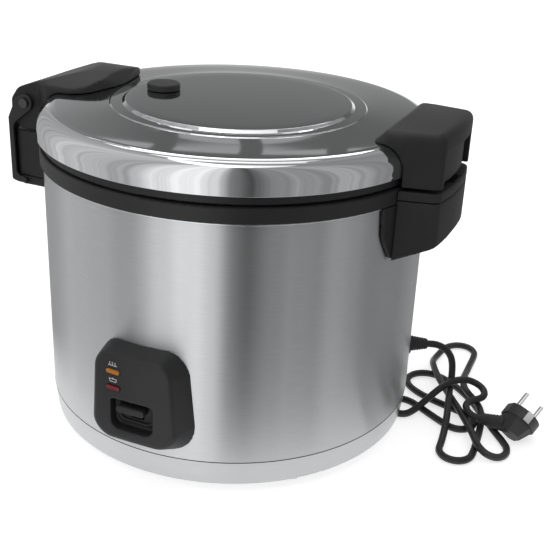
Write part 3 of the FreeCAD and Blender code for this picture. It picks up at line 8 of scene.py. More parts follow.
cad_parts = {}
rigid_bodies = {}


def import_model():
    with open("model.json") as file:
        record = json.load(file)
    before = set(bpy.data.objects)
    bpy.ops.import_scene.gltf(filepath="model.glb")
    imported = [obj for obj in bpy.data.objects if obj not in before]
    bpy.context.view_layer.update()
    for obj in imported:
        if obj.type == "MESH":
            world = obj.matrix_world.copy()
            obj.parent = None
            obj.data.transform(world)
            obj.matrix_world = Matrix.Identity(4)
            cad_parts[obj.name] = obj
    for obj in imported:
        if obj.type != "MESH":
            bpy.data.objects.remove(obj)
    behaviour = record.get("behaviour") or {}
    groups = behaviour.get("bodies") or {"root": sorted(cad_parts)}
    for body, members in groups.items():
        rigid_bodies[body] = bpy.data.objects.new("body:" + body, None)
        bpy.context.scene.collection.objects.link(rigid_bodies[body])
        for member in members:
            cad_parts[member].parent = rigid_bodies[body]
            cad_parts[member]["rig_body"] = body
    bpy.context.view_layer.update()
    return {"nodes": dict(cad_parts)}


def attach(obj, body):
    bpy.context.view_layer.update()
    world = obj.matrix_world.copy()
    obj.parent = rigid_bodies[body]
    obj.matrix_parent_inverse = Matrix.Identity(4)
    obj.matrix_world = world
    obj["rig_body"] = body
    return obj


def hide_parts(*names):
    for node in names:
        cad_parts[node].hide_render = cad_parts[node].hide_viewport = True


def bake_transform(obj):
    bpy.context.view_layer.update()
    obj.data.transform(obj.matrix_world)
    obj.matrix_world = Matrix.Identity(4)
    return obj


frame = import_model()
nodes = frame["nodes"]
scene = bpy.context.scene
scene.view_settings.view_transform = "Standard"
mm = 0.001


# camera
viewpoint = {
    "place": (0.37049, -0.79451, 0.522668),
    "ahead": (-0.348321, 0.843860, -0.408120),
    "up": (-0.197644, 0.359481, 0.911981),
    "lens": 64.70, "sensor": 36.0, "clip": (0.05, 60.0),
}


def makeCamera(v):
    data = bpy.data.cameras.new("viewCamera")
    data.lens = v["lens"]
    data.sensor_width = v["sensor"]
    data.clip_start, data.clip_end = v["clip"]
    cam = bpy.data.objects.new("viewCamera", data)
    scene.collection.objects.link(cam)
    ahead = Vector(v["ahead"]).normalized()
    right = ahead.cross(Vector(v["up"])).normalized()
    up = right.cross(ahead)
    turn = Matrix((right, up, -ahead)).transposed().to_4x4()
    cam.matrix_world = Matrix.Translation(Vector(v["place"])) @ turn
    scene.camera = cam


makeCamera(viewpoint)
print("camera set")


# node helpers
def addNode(tree, kind, **values):
    node = tree.nodes.new(kind)
    for key, value in values.items():
        setattr(node, key, value)
    return node


def setIn(node, **values):
    for key, value in values.items():
        node.inputs[key.replace("_", " ")].default_value = value


def mathNode(tree, operation, a, b=None):
    node = addNode(tree, "ShaderNodeMath", operation=operation)
    for slot, value in enumerate((a, b)):
        if value is None:
            continue
        if isinstance(value, (int, float)):
            node.inputs[slot].default_value = value
        else:
            tree.links.new(value, node.inputs[slot])
    return node.outputs[0]


def product(tree, *values):
    total = values[0]
    for value in values[1:]:
        total = mathNode(tree, "MULTIPLY", total, value)
    return total


def mixture(tree, a, b, share):
    # that share of a, and the rest of b
    return mathNode(tree, "ADD", product(tree, a, share), product(tree, b, 1.0 - share))


def between(tree, value, low, high):
    # 1 from low to high, 0 elsewhere
    return product(tree, mathNode(tree, "GREATER_THAN", value, low), mathNode(tree, "LESS_THAN", value, high))


def mapRange(tree, value, fromMin, fromMax, toMin, toMax):
    span = addNode(tree, "ShaderNodeMapRange")
    setIn(span, From_Min=fromMin, From_Max=fromMax, To_Min=toMin, To_Max=toMax)
    tree.links.new(value, span.inputs["Value"])
    return span.outputs["Result"]


def newGroup(name, inputs, outputs):
    group = bpy.data.node_groups.new(name, "ShaderNodeTree")
    for label, value in inputs.items():
        socket = group.interface.new_socket(label, in_out="INPUT", socket_type="NodeSocketFloat")
        socket.default_value = value
    for label in outputs:
        group.interface.new_socket(label, in_out="OUTPUT", socket_type="NodeSocketFloat")
    return group, group.nodes.new("NodeGroupInput"), group.nodes.new("NodeGroupOutput")


def ramp(tree, value, stops):
    node = addNode(tree, "ShaderNodeValToRGB")
    points = node.color_ramp.elements
    while len(points) < len(stops):
        points.new(0.5)
    for point, (at, tone) in zip(points, stops):
        point.position = at
        colour = tone if isinstance(tone, tuple) else (tone, tone, tone)
        point.color = (*colour, 1.0)
    tree.links.new(value, node.inputs["Fac"])
    return node.outputs["Color"]


def newMaterial(name):
    mat = bpy.data.materials.new(name)
    mat.use_nodes = True
    mat.node_tree.nodes.clear()
    return mat, mat.node_tree, addNode(mat.node_tree, "ShaderNodeOutputMaterial")


def meshObject(name, bm):
    mesh = bpy.data.meshes.new(name)
    bm.to_mesh(mesh)
    bm.free()
    obj = bpy.data.objects.new(name, mesh)
    scene.collection.objects.link(obj)
    return obj


def eased(share):
    # 0 to 1 with a soft start and end
    share = min(max(share, 0.0), 1.0)
    return share * share * (3 - 2 * share)


def settle(obj):
    # bakes the modifiers into a plain mesh
    depsgraph = bpy.context.evaluated_depsgraph_get()
    mesh = bpy.data.meshes.new_from_object(obj.evaluated_get(depsgraph))
    obj.modifiers.clear()
    old = obj.data
    obj.data = mesh
    bpy.data.meshes.remove(old)


# shared surface effects; a noise stays mostly within noiseSpan
noiseSpan = (0.3, 0.7)


def makeMouldGrain():
    # fine grain over broad clouds
    group, into, out = newGroup("mouldGrain", {"Scale": 900.0, "Patch": 14.0}, ("Height", "Tone"))
    place = addNode(group, "ShaderNodeTexCoord")
    fine = addNode(group, "ShaderNodeTexNoise")
    setIn(fine, Detail=2.0, Roughness=0.6)
    broad = addNode(group, "ShaderNodeTexNoise")
    setIn(broad, Detail=3.0, Roughness=0.55)
    for noise, label in ((fine, "Scale"), (broad, "Patch")):
        group.links.new(place.outputs["Object"], noise.inputs["Vector"])
        group.links.new(into.outputs[label], noise.inputs["Scale"])
    group.links.new(fine.outputs["Fac"], out.inputs["Height"])
    tone = mixture(group, fine.outputs["Fac"], broad.outputs["Fac"], share=0.45)
    group.links.new(tone, out.inputs["Tone"])
    return group


def makeBrushLines():
    # fine lines that run round the Z axis, on an unrolled copy of the surface
    group, into, out = newGroup("brushLines", {"Fineness": 2600.0, "Length": 9.0}, ("Height", "Tone"))
    place = addNode(group, "ShaderNodeTexCoord")
    axes = addNode(group, "ShaderNodeSeparateXYZ")
    group.links.new(place.outputs["Object"], axes.inputs[0])
    angle = mathNode(group, "ARCTAN2", axes.outputs["Y"], axes.outputs["X"])
    along = mathNode(group, "MULTIPLY", angle, into.outputs["Length"])
    across = mathNode(group, "MULTIPLY", axes.outputs["Z"], into.outputs["Fineness"])
    flat = addNode(group, "ShaderNodeCombineXYZ")
    group.links.new(along, flat.inputs["X"])
    group.links.new(across, flat.inputs["Z"])
    lines = addNode(group, "ShaderNodeTexNoise")
    setIn(lines, Scale=1.0, Detail=3.0, Roughness=0.65)
    group.links.new(flat.outputs[0], lines.inputs["Vector"])
    clouds = addNode(group, "ShaderNodeTexNoise")
    setIn(clouds, Scale=5.0, Detail=2.0)
    group.links.new(place.outputs["Object"], clouds.inputs["Vector"])
    group.links.new(lines.outputs["Fac"], out.inputs["Height"])
    tone = mixture(group, lines.outputs["Fac"], clouds.outputs["Fac"], share=0.7)
    group.links.new(tone, out.inputs["Tone"])
    return group


def makeHandMarks():
    # smears where the haze is thick
    group, into, out = newGroup("handMarks", {"Scale": 9.0, "Haze": 3.0}, ("Height", "Tone"))
    place = addNode(group, "ShaderNodeTexCoord")
    smear = addNode(group, "ShaderNodeTexNoise")
    setIn(smear, Detail=5.0, Roughness=0.6, Distortion=0.6)
    haze = addNode(group, "ShaderNodeTexNoise")
    setIn(haze, Detail=1.0)
    group.links.new(place.outputs["Object"], smear.inputs["Vector"])
    group.links.new(place.outputs["Object"], haze.inputs["Vector"])
    group.links.new(into.outputs["Scale"], smear.inputs["Scale"])
    group.links.new(into.outputs["Haze"], haze.inputs["Scale"])
    group.links.new(haze.outputs["Fac"], out.inputs["Height"])
    group.links.new(product(group, smear.outputs["Fac"], haze.outputs["Fac"]), out.inputs["Tone"])
    return group


effects = {"grain": makeMouldGrain(), "brush": makeBrushLines(), "marks": makeHandMarks()}


def finish(name, effect, dark, light, rough, bump=0.0, bumpSize=0.0002, settings=None, **shader):
    # one procedural finish: the effect's Tone drives colour and roughness, its Height the bump
    mat, tree, out = newMaterial(name)
    bsdf = addNode(tree, "ShaderNodeBsdfPrincipled")
    tree.links.new(bsdf.outputs[0], out.inputs["Surface"])
    source = addNode(tree, "ShaderNodeGroup", node_tree=effects[effect])
    for label, value in (settings or {}).items():
        source.inputs[label].default_value = value
    tone = source.outputs["Tone"]
    tree.links.new(ramp(tree, tone, list(zip(noiseSpan, (dark, light)))), bsdf.inputs["Base Color"])
    tree.links.new(mapRange(tree, tone, *noiseSpan, *rough), bsdf.inputs["Roughness"])
    if bump:
        relief = addNode(tree, "ShaderNodeBump")
        setIn(relief, Strength=bump, Distance=bumpSize)
        tree.links.new(source.outputs["Height"], relief.inputs["Height"])
        tree.links.new(relief.outputs[0], bsdf.inputs["Normal"])
    setIn(bsdf, **shader)
    return mat


def grey(tone, tint=(1.0, 1.0, 1.0)):
    return tuple(tone * t for t in tint)


cool = (0.985, 1.0, 1.015)
recipes = {
    "brushedSteel": dict(effect="brush", dark=grey(0.54, cool), light=grey(0.68, cool), rough=(0.30, 0.40),
                         bump=0.20, bumpSize=0.0001, Metallic=1.0, Anisotropic=0.9, Anisotropic_Rotation=0.25),
    "baseSteel": dict(effect="brush", dark=grey(0.52, cool), light=grey(0.60, cool), rough=(0.30, 0.38),
                      bump=0.10, bumpSize=0.0001, settings={"Fineness": 1500.0}, Metallic=1.0,
                      Anisotropic=0.7, Anisotropic_Rotation=0.25),
    # polished bead steel, lighter than the drum's steel: partly a painted highlight for the bright line along
    # the drum's top edge
    "beadSteelAndHighlight": dict(effect="marks", dark=grey(0.72, cool), light=grey(0.80, cool), rough=(0.16, 0.24),
                      Metallic=1.0),
    "pinSteel": dict(effect="grain", dark=grey(0.10), light=grey(0.16), rough=(0.24, 0.34), bump=0.1,
                     bumpSize=0.0001, Metallic=1.0),
    "polishedSteel": dict(effect="marks", dark=grey(0.74, cool), light=grey(0.80, cool), rough=(0.05, 0.12),
                          Metallic=1.0),
    "blackPlastic": dict(effect="grain", dark=grey(0.014, cool), light=grey(0.024, cool), rough=(0.44, 0.56),
                         bump=0.35, bumpSize=0.00025, Specular_IOR_Level=0.35),
    "blackPaint": dict(effect="grain", dark=grey(0.016), light=grey(0.024), rough=(0.34, 0.44), bump=0.10,
                       bumpSize=0.0001),
    "potAluminium": dict(effect="brush", dark=grey(0.62), light=grey(0.72), rough=(0.30, 0.42), bump=0.15,
                         bumpSize=0.0001, settings={"Fineness": 1200.0}, Metallic=1.0, Anisotropic=0.4),
    "castAluminium": dict(effect="grain", dark=grey(0.48), light=grey(0.60), rough=(0.45, 0.60), bump=0.25,
                          bumpSize=0.0003, settings={"Scale": 500.0}, Metallic=1.0),
    "heaterSteel": dict(effect="grain", dark=grey(0.16), light=grey(0.26, (1.0, 0.95, 0.88)),
                        rough=(0.50, 0.65), bump=0.2, Metallic=1.0),
    "plainSteel": dict(effect="grain", dark=grey(0.52), light=grey(0.60), rough=(0.32, 0.44), bump=0.05,
                       bumpSize=0.0001, settings={"Scale": 120.0}, Metallic=1.0),
    "brightSteel": dict(effect="marks", dark=grey(0.70), light=grey(0.80), rough=(0.10, 0.22), Metallic=1.0),
    "springSteel": dict(effect="grain", dark=grey(0.34), light=grey(0.44), rough=(0.25, 0.35), bump=0.1,
                        bumpSize=0.0001, Metallic=1.0),
    "ferrite": dict(effect="grain", dark=grey(0.05), light=grey(0.09), rough=(0.50, 0.65), bump=0.3),
    "heaterCloth": dict(effect="grain", dark=(0.58, 0.55, 0.48), light=(0.74, 0.71, 0.64), rough=(0.85, 0.95),
                        bump=0.8, bumpSize=0.0005, settings={"Scale": 700.0}),
    "switchPlastic": dict(effect="grain", dark=(0.68, 0.66, 0.58), light=(0.78, 0.76, 0.69),
                          rough=(0.40, 0.52), bump=0.1, bumpSize=0.0001),
    "paleSilicone": dict(effect="grain", dark=(0.66, 0.66, 0.63), light=(0.76, 0.76, 0.74),
                         rough=(0.45, 0.58), bump=0.08, bumpSize=0.0001),
    # the feet's black rubber; it also colours the ring of painted shade in the drum's seam
    "footRubberAndSeamShade": dict(effect="grain", dark=grey(0.020), light=grey(0.032), rough=(0.65, 0.80), bump=0.4,
                       bumpSize=0.0003),
    "cordRubber": dict(effect="grain", dark=grey(0.014), light=grey(0.024), rough=(0.36, 0.46), bump=0.15,
                       bumpSize=0.0001, settings={"Scale": 500.0}),
    "plugRubber": dict(effect="grain", dark=grey(0.022), light=grey(0.034), rough=(0.46, 0.56), bump=0.25,
                       settings={"Scale": 650.0}),
    "amberLens": dict(effect="marks", dark=(0.46, 0.17, 0.015), light=(0.70, 0.30, 0.03), rough=(0.20, 0.30),
                      bump=0.1, settings={"Scale": 300.0}, Coat_Weight=0.25, Coat_Roughness=0.1),
    "redLens": dict(effect="marks", dark=(0.16, 0.006, 0.012), light=(0.30, 0.012, 0.02), rough=(0.20, 0.30),
                    bump=0.1, settings={"Scale": 300.0}, Coat_Weight=0.25, Coat_Roughness=0.1),
    "lampGlass": dict(effect="marks", dark=(0.80, 0.70, 0.52), light=(0.90, 0.80, 0.62), rough=(0.06, 0.12),
                      Coat_Weight=0.5),
    "pinChrome": dict(effect="marks", dark=grey(0.74), light=grey(0.82), rough=(0.08, 0.16), Metallic=1.0),
    "markPaint": dict(effect="grain", dark=grey(0.72), light=grey(0.82), rough=(0.45, 0.55)),
}
finishes = {name: finish(name, **recipe) for name, recipe in recipes.items()}
wearers = {
    "brushedSteel": ["outer_shell"],
    "baseSteel": ["base_ring"],
    "polishedSteel": ["lid_shell"],
    "blackPlastic": ["rim_ring", "lid_ring", "latch_hood", "latch_lever", "latch_handle_base",
                     "latch_handle_grip", "latch_handle_cap", "hinge_arm", "rear_handle_tray",
                     "rear_handle_cover", "control_panel", "cook_lever", "vent_cap"],
    "blackPaint": ["hinge_yoke"],
    "potAluminium": ["inner_pot"],
    "castAluminium": ["heating_plate", "sensor_cap"],
    "heaterSteel": ["heater_tube"],
    "plainSteel": ["inner_casing", "bottom_plate", "lid_inner_pan", "plate_posts", "sensor_sleeve",
                   "switch_arm", "switch_bracket", "strike_plate"],
    "pinSteel": ["hinge_pin"],
    "brightSteel": ["latch_pin", "switch_pin", "base_screws", "panel_screws", "latch_handle_screws",
                    "rear_handle_screws", "lid_screws"],
    "springSteel": ["sensor_spring", "latch_spring"],
    "ferrite": ["ferrite_disc", "magnet_rod"],
    "heaterCloth": ["keep_warm_band"],
    "switchPlastic": ["micro_switch", "terminal_block", "thermal_fuse"],
    "paleSilicone": ["lid_gasket", "vent_grommet"],
    "footRubberAndSeamShade": ["feet"],
    "plugRubber": ["cord_gland", "plug_body"],
    "cordRubber": ["cord_lead", "cord_hank"],
    "amberLens": ["lamp_lens_warm"],
    "redLens": ["lamp_lens_cook"],
    "lampGlass": ["pilot_lamps"],
    "pinChrome": ["plug_pins", "plug_earth_clips"],
}
finishOf = {node: finishes[name] for name, members in wearers.items() for node in members}
for name, obj in nodes.items():
    obj.data.materials.clear()
    obj.data.materials.append(finishOf[name])
print("finishes on", len(nodes), "nodes")


# ribs round the boot of the gland and the neck of the plug
ribs = {
    "gland": {"count": 6, "pitch": 2.5, "first": 7.2, "last": 5.4, "thick": 0.55,
              "place": (164.63, 73.30, 61.0), "way": (0.91355, 0.40674, 0.0)},
    "neck": {"count": 6, "pitch": 3.0, "first": 7.1, "last": 5.5, "thick": 0.6,
             "place": (265.0, 42.0, 14.45), "way": (-0.9995, 0.0280, -0.0272)},
}


def makeRibTree():
    # a row of rings along Way, from First to Last in radius
    tree = bpy.data.node_groups.new("reliefRibs", "GeometryNodeTree")
    keys = {}
    for label, kind in (("Geometry", "Geometry"), ("Count", "Int"), ("Pitch", "Float"), ("First", "Float"),
                        ("Last", "Float"), ("Thick", "Float"), ("Place", "Vector"), ("Way", "Vector"),
                        ("Finish", "Material")):
        socket = tree.interface.new_socket(label, in_out="INPUT", socket_type="NodeSocket" + kind)
        keys[label] = socket.identifier
    tree.interface.new_socket("Geometry", in_out="OUTPUT", socket_type="NodeSocketGeometry")
    into = addNode(tree, "NodeGroupInput")
    out = addNode(tree, "NodeGroupOutput")
    join = tree.links.new
    step = addNode(tree, "ShaderNodeCombineXYZ")
    join(into.outputs["Pitch"], step.inputs["Z"])
    line = addNode(tree, "GeometryNodeMeshLine", mode="OFFSET")
    join(into.outputs["Count"], line.inputs["Count"])
    join(step.outputs[0], line.inputs["Offset"])
    ring = addNode(tree, "GeometryNodeCurvePrimitiveCircle")
    setIn(ring, Resolution=44, Radius=1.0)
    bead = addNode(tree, "GeometryNodeCurvePrimitiveCircle")
    setIn(bead, Resolution=10)
    join(mathNode(tree, "DIVIDE", into.outputs["Thick"], into.outputs["First"]), bead.inputs["Radius"])
    tube = addNode(tree, "GeometryNodeCurveToMesh")
    join(ring.outputs["Curve"], tube.inputs["Curve"])
    join(bead.outputs["Curve"], tube.inputs["Profile Curve"])
    index = addNode(tree, "GeometryNodeInputIndex")
    size = addNode(tree, "ShaderNodeMapRange")
    join(index.outputs[0], size.inputs["Value"])
    join(mathNode(tree, "SUBTRACT", into.outputs["Count"], 1.0), size.inputs["From Max"])
    join(into.outputs["First"], size.inputs["To Min"])
    join(into.outputs["Last"], size.inputs["To Max"])
    each = addNode(tree, "GeometryNodeInstanceOnPoints")
    join(line.outputs["Mesh"], each.inputs["Points"])
    join(tube.outputs["Mesh"], each.inputs["Instance"])
    join(size.outputs["Result"], each.inputs["Scale"])
    turn = addNode(tree, "FunctionNodeAlignRotationToVector", axis="Z")
    join(into.outputs["Way"], turn.inputs["Vector"])
    move = addNode(tree, "GeometryNodeTransform")
    join(each.outputs["Instances"], move.inputs["Geometry"])
    join(into.outputs["Place"], move.inputs["Translation"])
    join(turn.outputs["Rotation"], move.inputs["Rotation"])
    real = addNode(tree, "GeometryNodeRealizeInstances")
    join(move.outputs["Geometry"], real.inputs["Geometry"])
    paint = addNode(tree, "GeometryNodeSetMaterial")
    join(real.outputs["Geometry"], paint.inputs["Geometry"])
    join(into.outputs["Finish"], paint.inputs["Material"])
    join(paint.outputs["Geometry"], out.inputs["Geometry"])
    return tree, keys


def makeRibs(name, v, tree, keys):
    obj = bpy.data.objects.new(name, bpy.data.meshes.new(name))
    scene.collection.objects.link(obj)
    mod = obj.modifiers.new("ribs", "NODES")
    mod.node_group = tree
    for label, value in (("Count", v["count"]), ("Pitch", v["pitch"] * mm), ("First", v["first"] * mm),
                         ("Last", v["last"] * mm), ("Thick", v["thick"] * mm),
                         ("Place", tuple(c * mm for c in v["place"])), ("Way", v["way"]),
                         ("Finish", finishes["plugRubber"])):
        mod[keys[label]] = value
    settle(obj)
    for face in obj.data.polygons:
        face.use_smooth = True
    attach(obj, "cooker")
    return obj


ribTree, ribKeys = makeRibTree()
glandRibs = makeRibs("glandRibs", ribs["gland"], ribTree, ribKeys)
neckRibs = makeRibs("neckRibs", ribs["neck"], ribTree, ribKeys)
print("ribs", len(glandRibs.data.polygons), len(neckRibs.data.polygons))


# mains lead
lead = {
    "diameter": 0.007,
    "exit": (178.14, 79.31, 61.0),
    # out of the gland and down, as the tube in the part
    "drop": [(178.14, 79.31, 61.0), (185.08, 82.40, 61.0), (191.75, 85.37, 58.6), (197.42, 87.90, 54.0),
             (201.53, 89.73, 47.6), (203.72, 90.70, 40.1), (204.9, 90.2, 30.0)],
    # front loop
    "front": [(206, 84.5, 22), (207.8, 73.5, 18.4), (210.5, 60, 15.8), (213.5, 46, 13.4), (216.5, 31, 10.9),
              (218.8, 14, 5.5), (220.3, -1, 3.6), (221, -15.2, 3.6), (229.8, -24, 3.6), (242.2, -24, 3.6),
              (251, -15.2, 3.6), (251.5, -1.5, 3.6), (250.5, 12, 3.6), (249.5, 25, 3.6), (248.5, 37, 3.8),
              (247, 48, 5.2), (244.5, 58, 9.6), (240, 68, 10.9), (233, 78, 11), (225, 87.5, 11),
              (217.8, 98, 10.9)],
    # tall loop at the back
    "back": [(213, 112, 10.9), (211, 128, 7.5), (210, 146, 4), (209.5, 164, 3.6), (209.3, 180, 3.6),
             (208, 192.5, 3.6), (199, 202, 3.6), (186.5, 202, 3.6), (177, 193, 3.6), (173.5, 179, 3.6),
             (171.5, 161, 3.7), (172, 146, 6.5), (176, 131, 10.9), (184, 114, 10.9), (194, 97, 10.9),
             (205, 80, 10.9), (216, 64, 10.9)],
    # fold by the plug
    "side": [(226, 49, 10.9), (235, 34.5, 10.9), (243.5, 20, 11), (249, 9, 11.2), (254.5, -1, 10.4),
             (264, -5.5, 6.4), (274.5, -2.5, 3.8), (280, 7, 3.6), (279, 18, 3.6), (272.5, 28, 3.6),
             (264, 39, 3.6), (253.5, 53, 3.6), (242, 69, 3.6), (230, 86, 3.6)],
    # short loop beside the drum
    "near": [(217.5, 99.5, 3.6), (204.5, 111, 3.6), (190, 120.5, 3.6), (175.5, 124, 3.6), (162.5, 118, 3.6),
             (156, 105, 3.6), (159.5, 91, 3.6), (171.5, 80.5, 3.6), (187, 73, 3.6), (204, 67.5, 3.6),
             (220, 63, 3.6), (234.3, 57.8, 3.6), (240.7, 49.2, 3.6), (240.3, 38.5, 3.6), (233.2, 30.5, 3.6),
             (222.6, 28.8, 3.6)],
    # under the base ring's edge, then back over the bundle to the plug
    "wrap": [(210, 35.5, 3.6), (197, 43.5, 3.6), (184, 52, 3.6), (172, 59, 3.6), (161.2, 59.2, 3.6),
             (154.2, 51.7, 3.6), (153, 41.9, 3.6), (158, 33.4, 3.6), (167.1, 29.7, 3.6), (176.7, 32.4, 4.0),
             (183, 41, 7.2), (189.5, 50.1, 13.2), (196, 59.1, 19.8), (203, 68.9, 25.4), (211, 80, 27.2),
             (219.4, 91.5, 24.6), (228.6, 93.9, 22.2), (237.4, 90.1, 20.2), (242, 81.8, 18.8),
             (240.7, 72.3, 18.4), (231.1, 63, 18.2), (229, 53.5, 18), (232.5, 45, 16.6), (240.5, 41.4, 14.2),
             (250, 42.4, 14.1), (256, 42.3, 14.2)],
}
leadPoints = [p for part in ("drop", "front", "back", "side", "near", "wrap") for p in lead[part]]


def makeLead():
    curve = bpy.data.curves.new("mainsLead", "CURVE")
    curve.dimensions = "3D"
    spline = curve.splines.new("NURBS")
    spline.points.add(len(leadPoints) - 1)
    for point, (x, y, z) in zip(spline.points, leadPoints):
        point.co = (x * mm, y * mm, z * mm, 1.0)
    spline.order_u = 3
    spline.use_endpoint_u = True
    spline.resolution_u = 6
    curve.bevel_depth = lead["diameter"] / 2
    curve.bevel_resolution = 4
    curve.use_fill_caps = True
    curve.materials.append(finishes["cordRubber"])
    obj = bpy.data.objects.new("mainsLead", curve)
    scene.collection.objects.link(obj)
    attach(obj, "cooker")
    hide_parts("cord_lead", "cord_hank")


makeLead()
print("mains lead laid")


# lathe-turned metal and rings; sizes in millimetres, angles in radians
lathe = {"segments": 224, "run": 12.0, "shortest": 1e-5, "arcStep": 0.06, "arcSteps": 6,
         "sharp": math.radians(32)}


def roundedOutline(corners):
    # straight runs with an arc at each corner that has a radius
    points = []
    for i, corner in enumerate(corners):
        here = Vector(corner[:2])
        radius = corner[2] if len(corner) > 2 else 0.0
        if not radius or i in (0, len(corners) - 1):
            points.append(here)
            continue
        back = (Vector(corners[i - 1][:2]) - here).normalized()
        ahead = (Vector(corners[i + 1][:2]) - here).normalized()
        half = back.angle(ahead) / 2
        trim = radius / math.tan(half)
        middle = here + (back + ahead).normalized() * (radius / math.sin(half))
        a = here + back * trim - middle
        b = here + ahead * trim - middle
        turn = a.angle(b)
        count = max(lathe["arcSteps"], int(turn / lathe["arcStep"]))
        side = 1 if a.x * b.y - a.y * b.x > 0 else -1
        start = math.atan2(a.y, a.x)
        for k in range(count + 1):
            t = start + side * turn * k / count
            points.append(middle + Vector((math.cos(t), math.sin(t))) * radius)
    return points


def turnedPiece(name, corners, material):
    # a closed outline turned about Z
    outline = roundedOutline(corners)
    fine = [outline[0]]
    for p in outline[1:] + outline[:1]:
        start = fine[-1]
        run = (p - start).length
        if run < lathe["shortest"]:
            continue
        count = max(1, int(run / lathe["run"]))
        fine += [start.lerp(p, k / count) for k in range(1, count + 1)]
    fine.pop()
    segments = lathe["segments"]
    turns = [2 * math.pi * k / segments for k in range(segments)]
    bm = bmesh.new()
    rings = []
    for p in fine:
        if p.x < lathe["shortest"]:
            rings.append([bm.verts.new((0, 0, p.y * mm))])
        else:
            rings.append([bm.verts.new((p.x * mm * math.cos(t), p.x * mm * math.sin(t), p.y * mm))
                          for t in turns])
    for a, b in zip(rings, rings[1:] + rings[:1]):
        for k in range(segments):
            n = (k + 1) % segments
            if len(a) == 1 and len(b) == 1:
                break
            if len(a) == 1:
                bm.faces.new((a[0], b[k], b[n]))
            elif len(b) == 1:
                bm.faces.new((a[k], b[0], a[n]))
            else:
                bm.faces.new((a[k], b[k], b[n], a[n]))
    bmesh.ops.recalc_face_normals(bm, faces=bm.faces)
    for face in bm.faces:
        face.smooth = True
    obj = meshObject(name, bm)
    obj.data.set_sharp_from_angle(angle=lathe["sharp"])
    obj.data.materials.append(material)
    return obj


lid = {
    "edge": 179.8, "low": 273.2, "shoulder": 298.1, "shoulderRound": 18.7, "wall": 0.9,
    "ring": 115.0, "ringZ": 300.1, "ringTop": 300.8, "plateau": 101.2, "plateauZ": 303.1,
    "lip": 5.0, "vent": (-74.0, -6.0), "ventHole": 8.8, "ventCut": (295.0, 310.0),
}


def lidOutline(v):
    # outside from the lip to the middle, then the inside back to the lip: radius, height, corner radius
    return [
        (v["edge"] - v["lip"], v["low"]), (v["edge"], v["low"], 0.6),
        (v["edge"], v["shoulder"], v["shoulderRound"]),
        (v["ring"] + 0.5, v["ringZ"], 0.5), (v["ring"] - 0.5, v["ringTop"], 0.5),
        (v["plateau"] + 3.2, v["ringTop"], 0.8), (v["plateau"] + 0.3, v["plateauZ"], 1.4),
        (0, v["plateauZ"]),
        (0, v["plateauZ"] - v["wall"]), (v["plateau"], v["plateauZ"] - v["wall"], 1.0),
        (v["plateau"] + 2.8, v["ringTop"] - v["wall"], 1.0), (v["ring"] - 1.0, v["ringTop"] - v["wall"]),
        (v["ring"], v["ringZ"] - v["wall"]),
        (v["edge"] - v["wall"], v["shoulder"] - v["wall"], v["shoulderRound"] - v["wall"]),
        (v["edge"] - v["wall"], v["low"] + v["wall"]), (v["edge"] - v["lip"], v["low"] + v["wall"]),
    ]


def cutRound(obj, x, y, radius, low, high):
    bm = bmesh.new()
    bmesh.ops.create_cone(bm, cap_ends=True, segments=64, radius1=radius * mm, radius2=radius * mm,
                          depth=(high - low) * mm,
                          matrix=Matrix.Translation((x * mm, y * mm, (low + high) / 2 * mm)))
    cutter = meshObject("cutter", bm)
    mod = obj.modifiers.new("hole", "BOOLEAN")
    mod.operation = "DIFFERENCE"
    mod.solver = "EXACT"
    mod.object = cutter
    settle(obj)
    bpy.data.objects.remove(cutter)


lidShell = turnedPiece("lidShell", lidOutline(lid), finishes["polishedSteel"])
cutRound(lidShell, *lid["vent"], lid["ventHole"], *lid["ventCut"])
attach(lidShell, "lid")
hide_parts("lid_shell")
print("lid turned")


# rolled bead at the top edge of the drum, its steel lighter than the drum's as a painted highlight line, and a
# dark ring of painted shade in the gap between the drum and the base ring
hoops = {
    # the bead's shape is real; its steel is lighter than the drum's, a painted highlight along the drum's top
    # edge
    "drumBead": {"inner": 174.6, "outer": 175.7, "low": 248.6, "high": 250.1, "round": 0.5,
                 "finish": "beadSteelAndHighlight", "slotOf": "outer_shell"},
    # a dark ring of painted shade, standing in for the shadow in the gap above the base ring
    "drumSeamShade": {"inner": 173.9, "outer": 175.06, "low": 31.9, "high": 32.7, "round": 0.0,
                 "finish": "footRubberAndSeamShade", "slotOf": "feet"},
}


def makeHoop(name, v):
    corners = [(v["inner"], v["low"]), (v["outer"], v["low"], v["round"]),
               (v["outer"], v["high"], v["round"]), (v["inner"], v["high"])]
    obj = turnedPiece(name, corners, finishes[v["finish"]])
    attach(obj, "cooker")


for name, values in hoops.items():
    makeHoop(name, values)
print("bead and seam turned")


# moulded plastic, softened from the part's own solids: voxel in millimetres, smoothing passes
moulded = {
    "latch_hood": (1.0, 5), "latch_handle_grip": (1.2, 4), "latch_handle_cap": (1.0, 2),
    "latch_handle_base": (1.0, 3), "hinge_arm": (1.3, 10), "rear_handle_tray": (1.1, 3),
    "rear_handle_cover": (1.1, 4), "hinge_yoke": (0.9, 3), "control_panel": (1.0, 3),
    "cook_lever": (0.7, 2), "latch_lever": (1.0, 2),
}
weldDistance = 2e-6
panelFlare = {"still": 0.024, "edge": 0.040, "widest": 0.066, "top": 0.136, "share": 0.075}


def spreadFoot(mesh, v):
    # turns the panel's two sides round the drum: wider low down, narrower at the top
    for vert in mesh.vertices:
        x, y, z = vert.co
        pull = eased((abs(x) - v["still"]) / (v["edge"] - v["still"]))
        level = max(-1.0, 1.0 - 2.0 * abs(z - v["widest"]) / (v["top"] - v["widest"]))
        turn = math.atan2(x, -y) * (1.0 + v["share"] * level * pull)
        reach = math.hypot(x, y)
        vert.co = (reach * math.sin(turn), -reach * math.cos(turn), z)


# corner webs that join the yoke's skin to its two ears
web = {"inner": 221.4, "outer": 224.0, "from": 27.0, "full": 37.0, "to": 48.2, "low": 203.5,
       "high": 261.0, "skinLow": 213.0, "skinHigh": 250.0, "steps": 22}


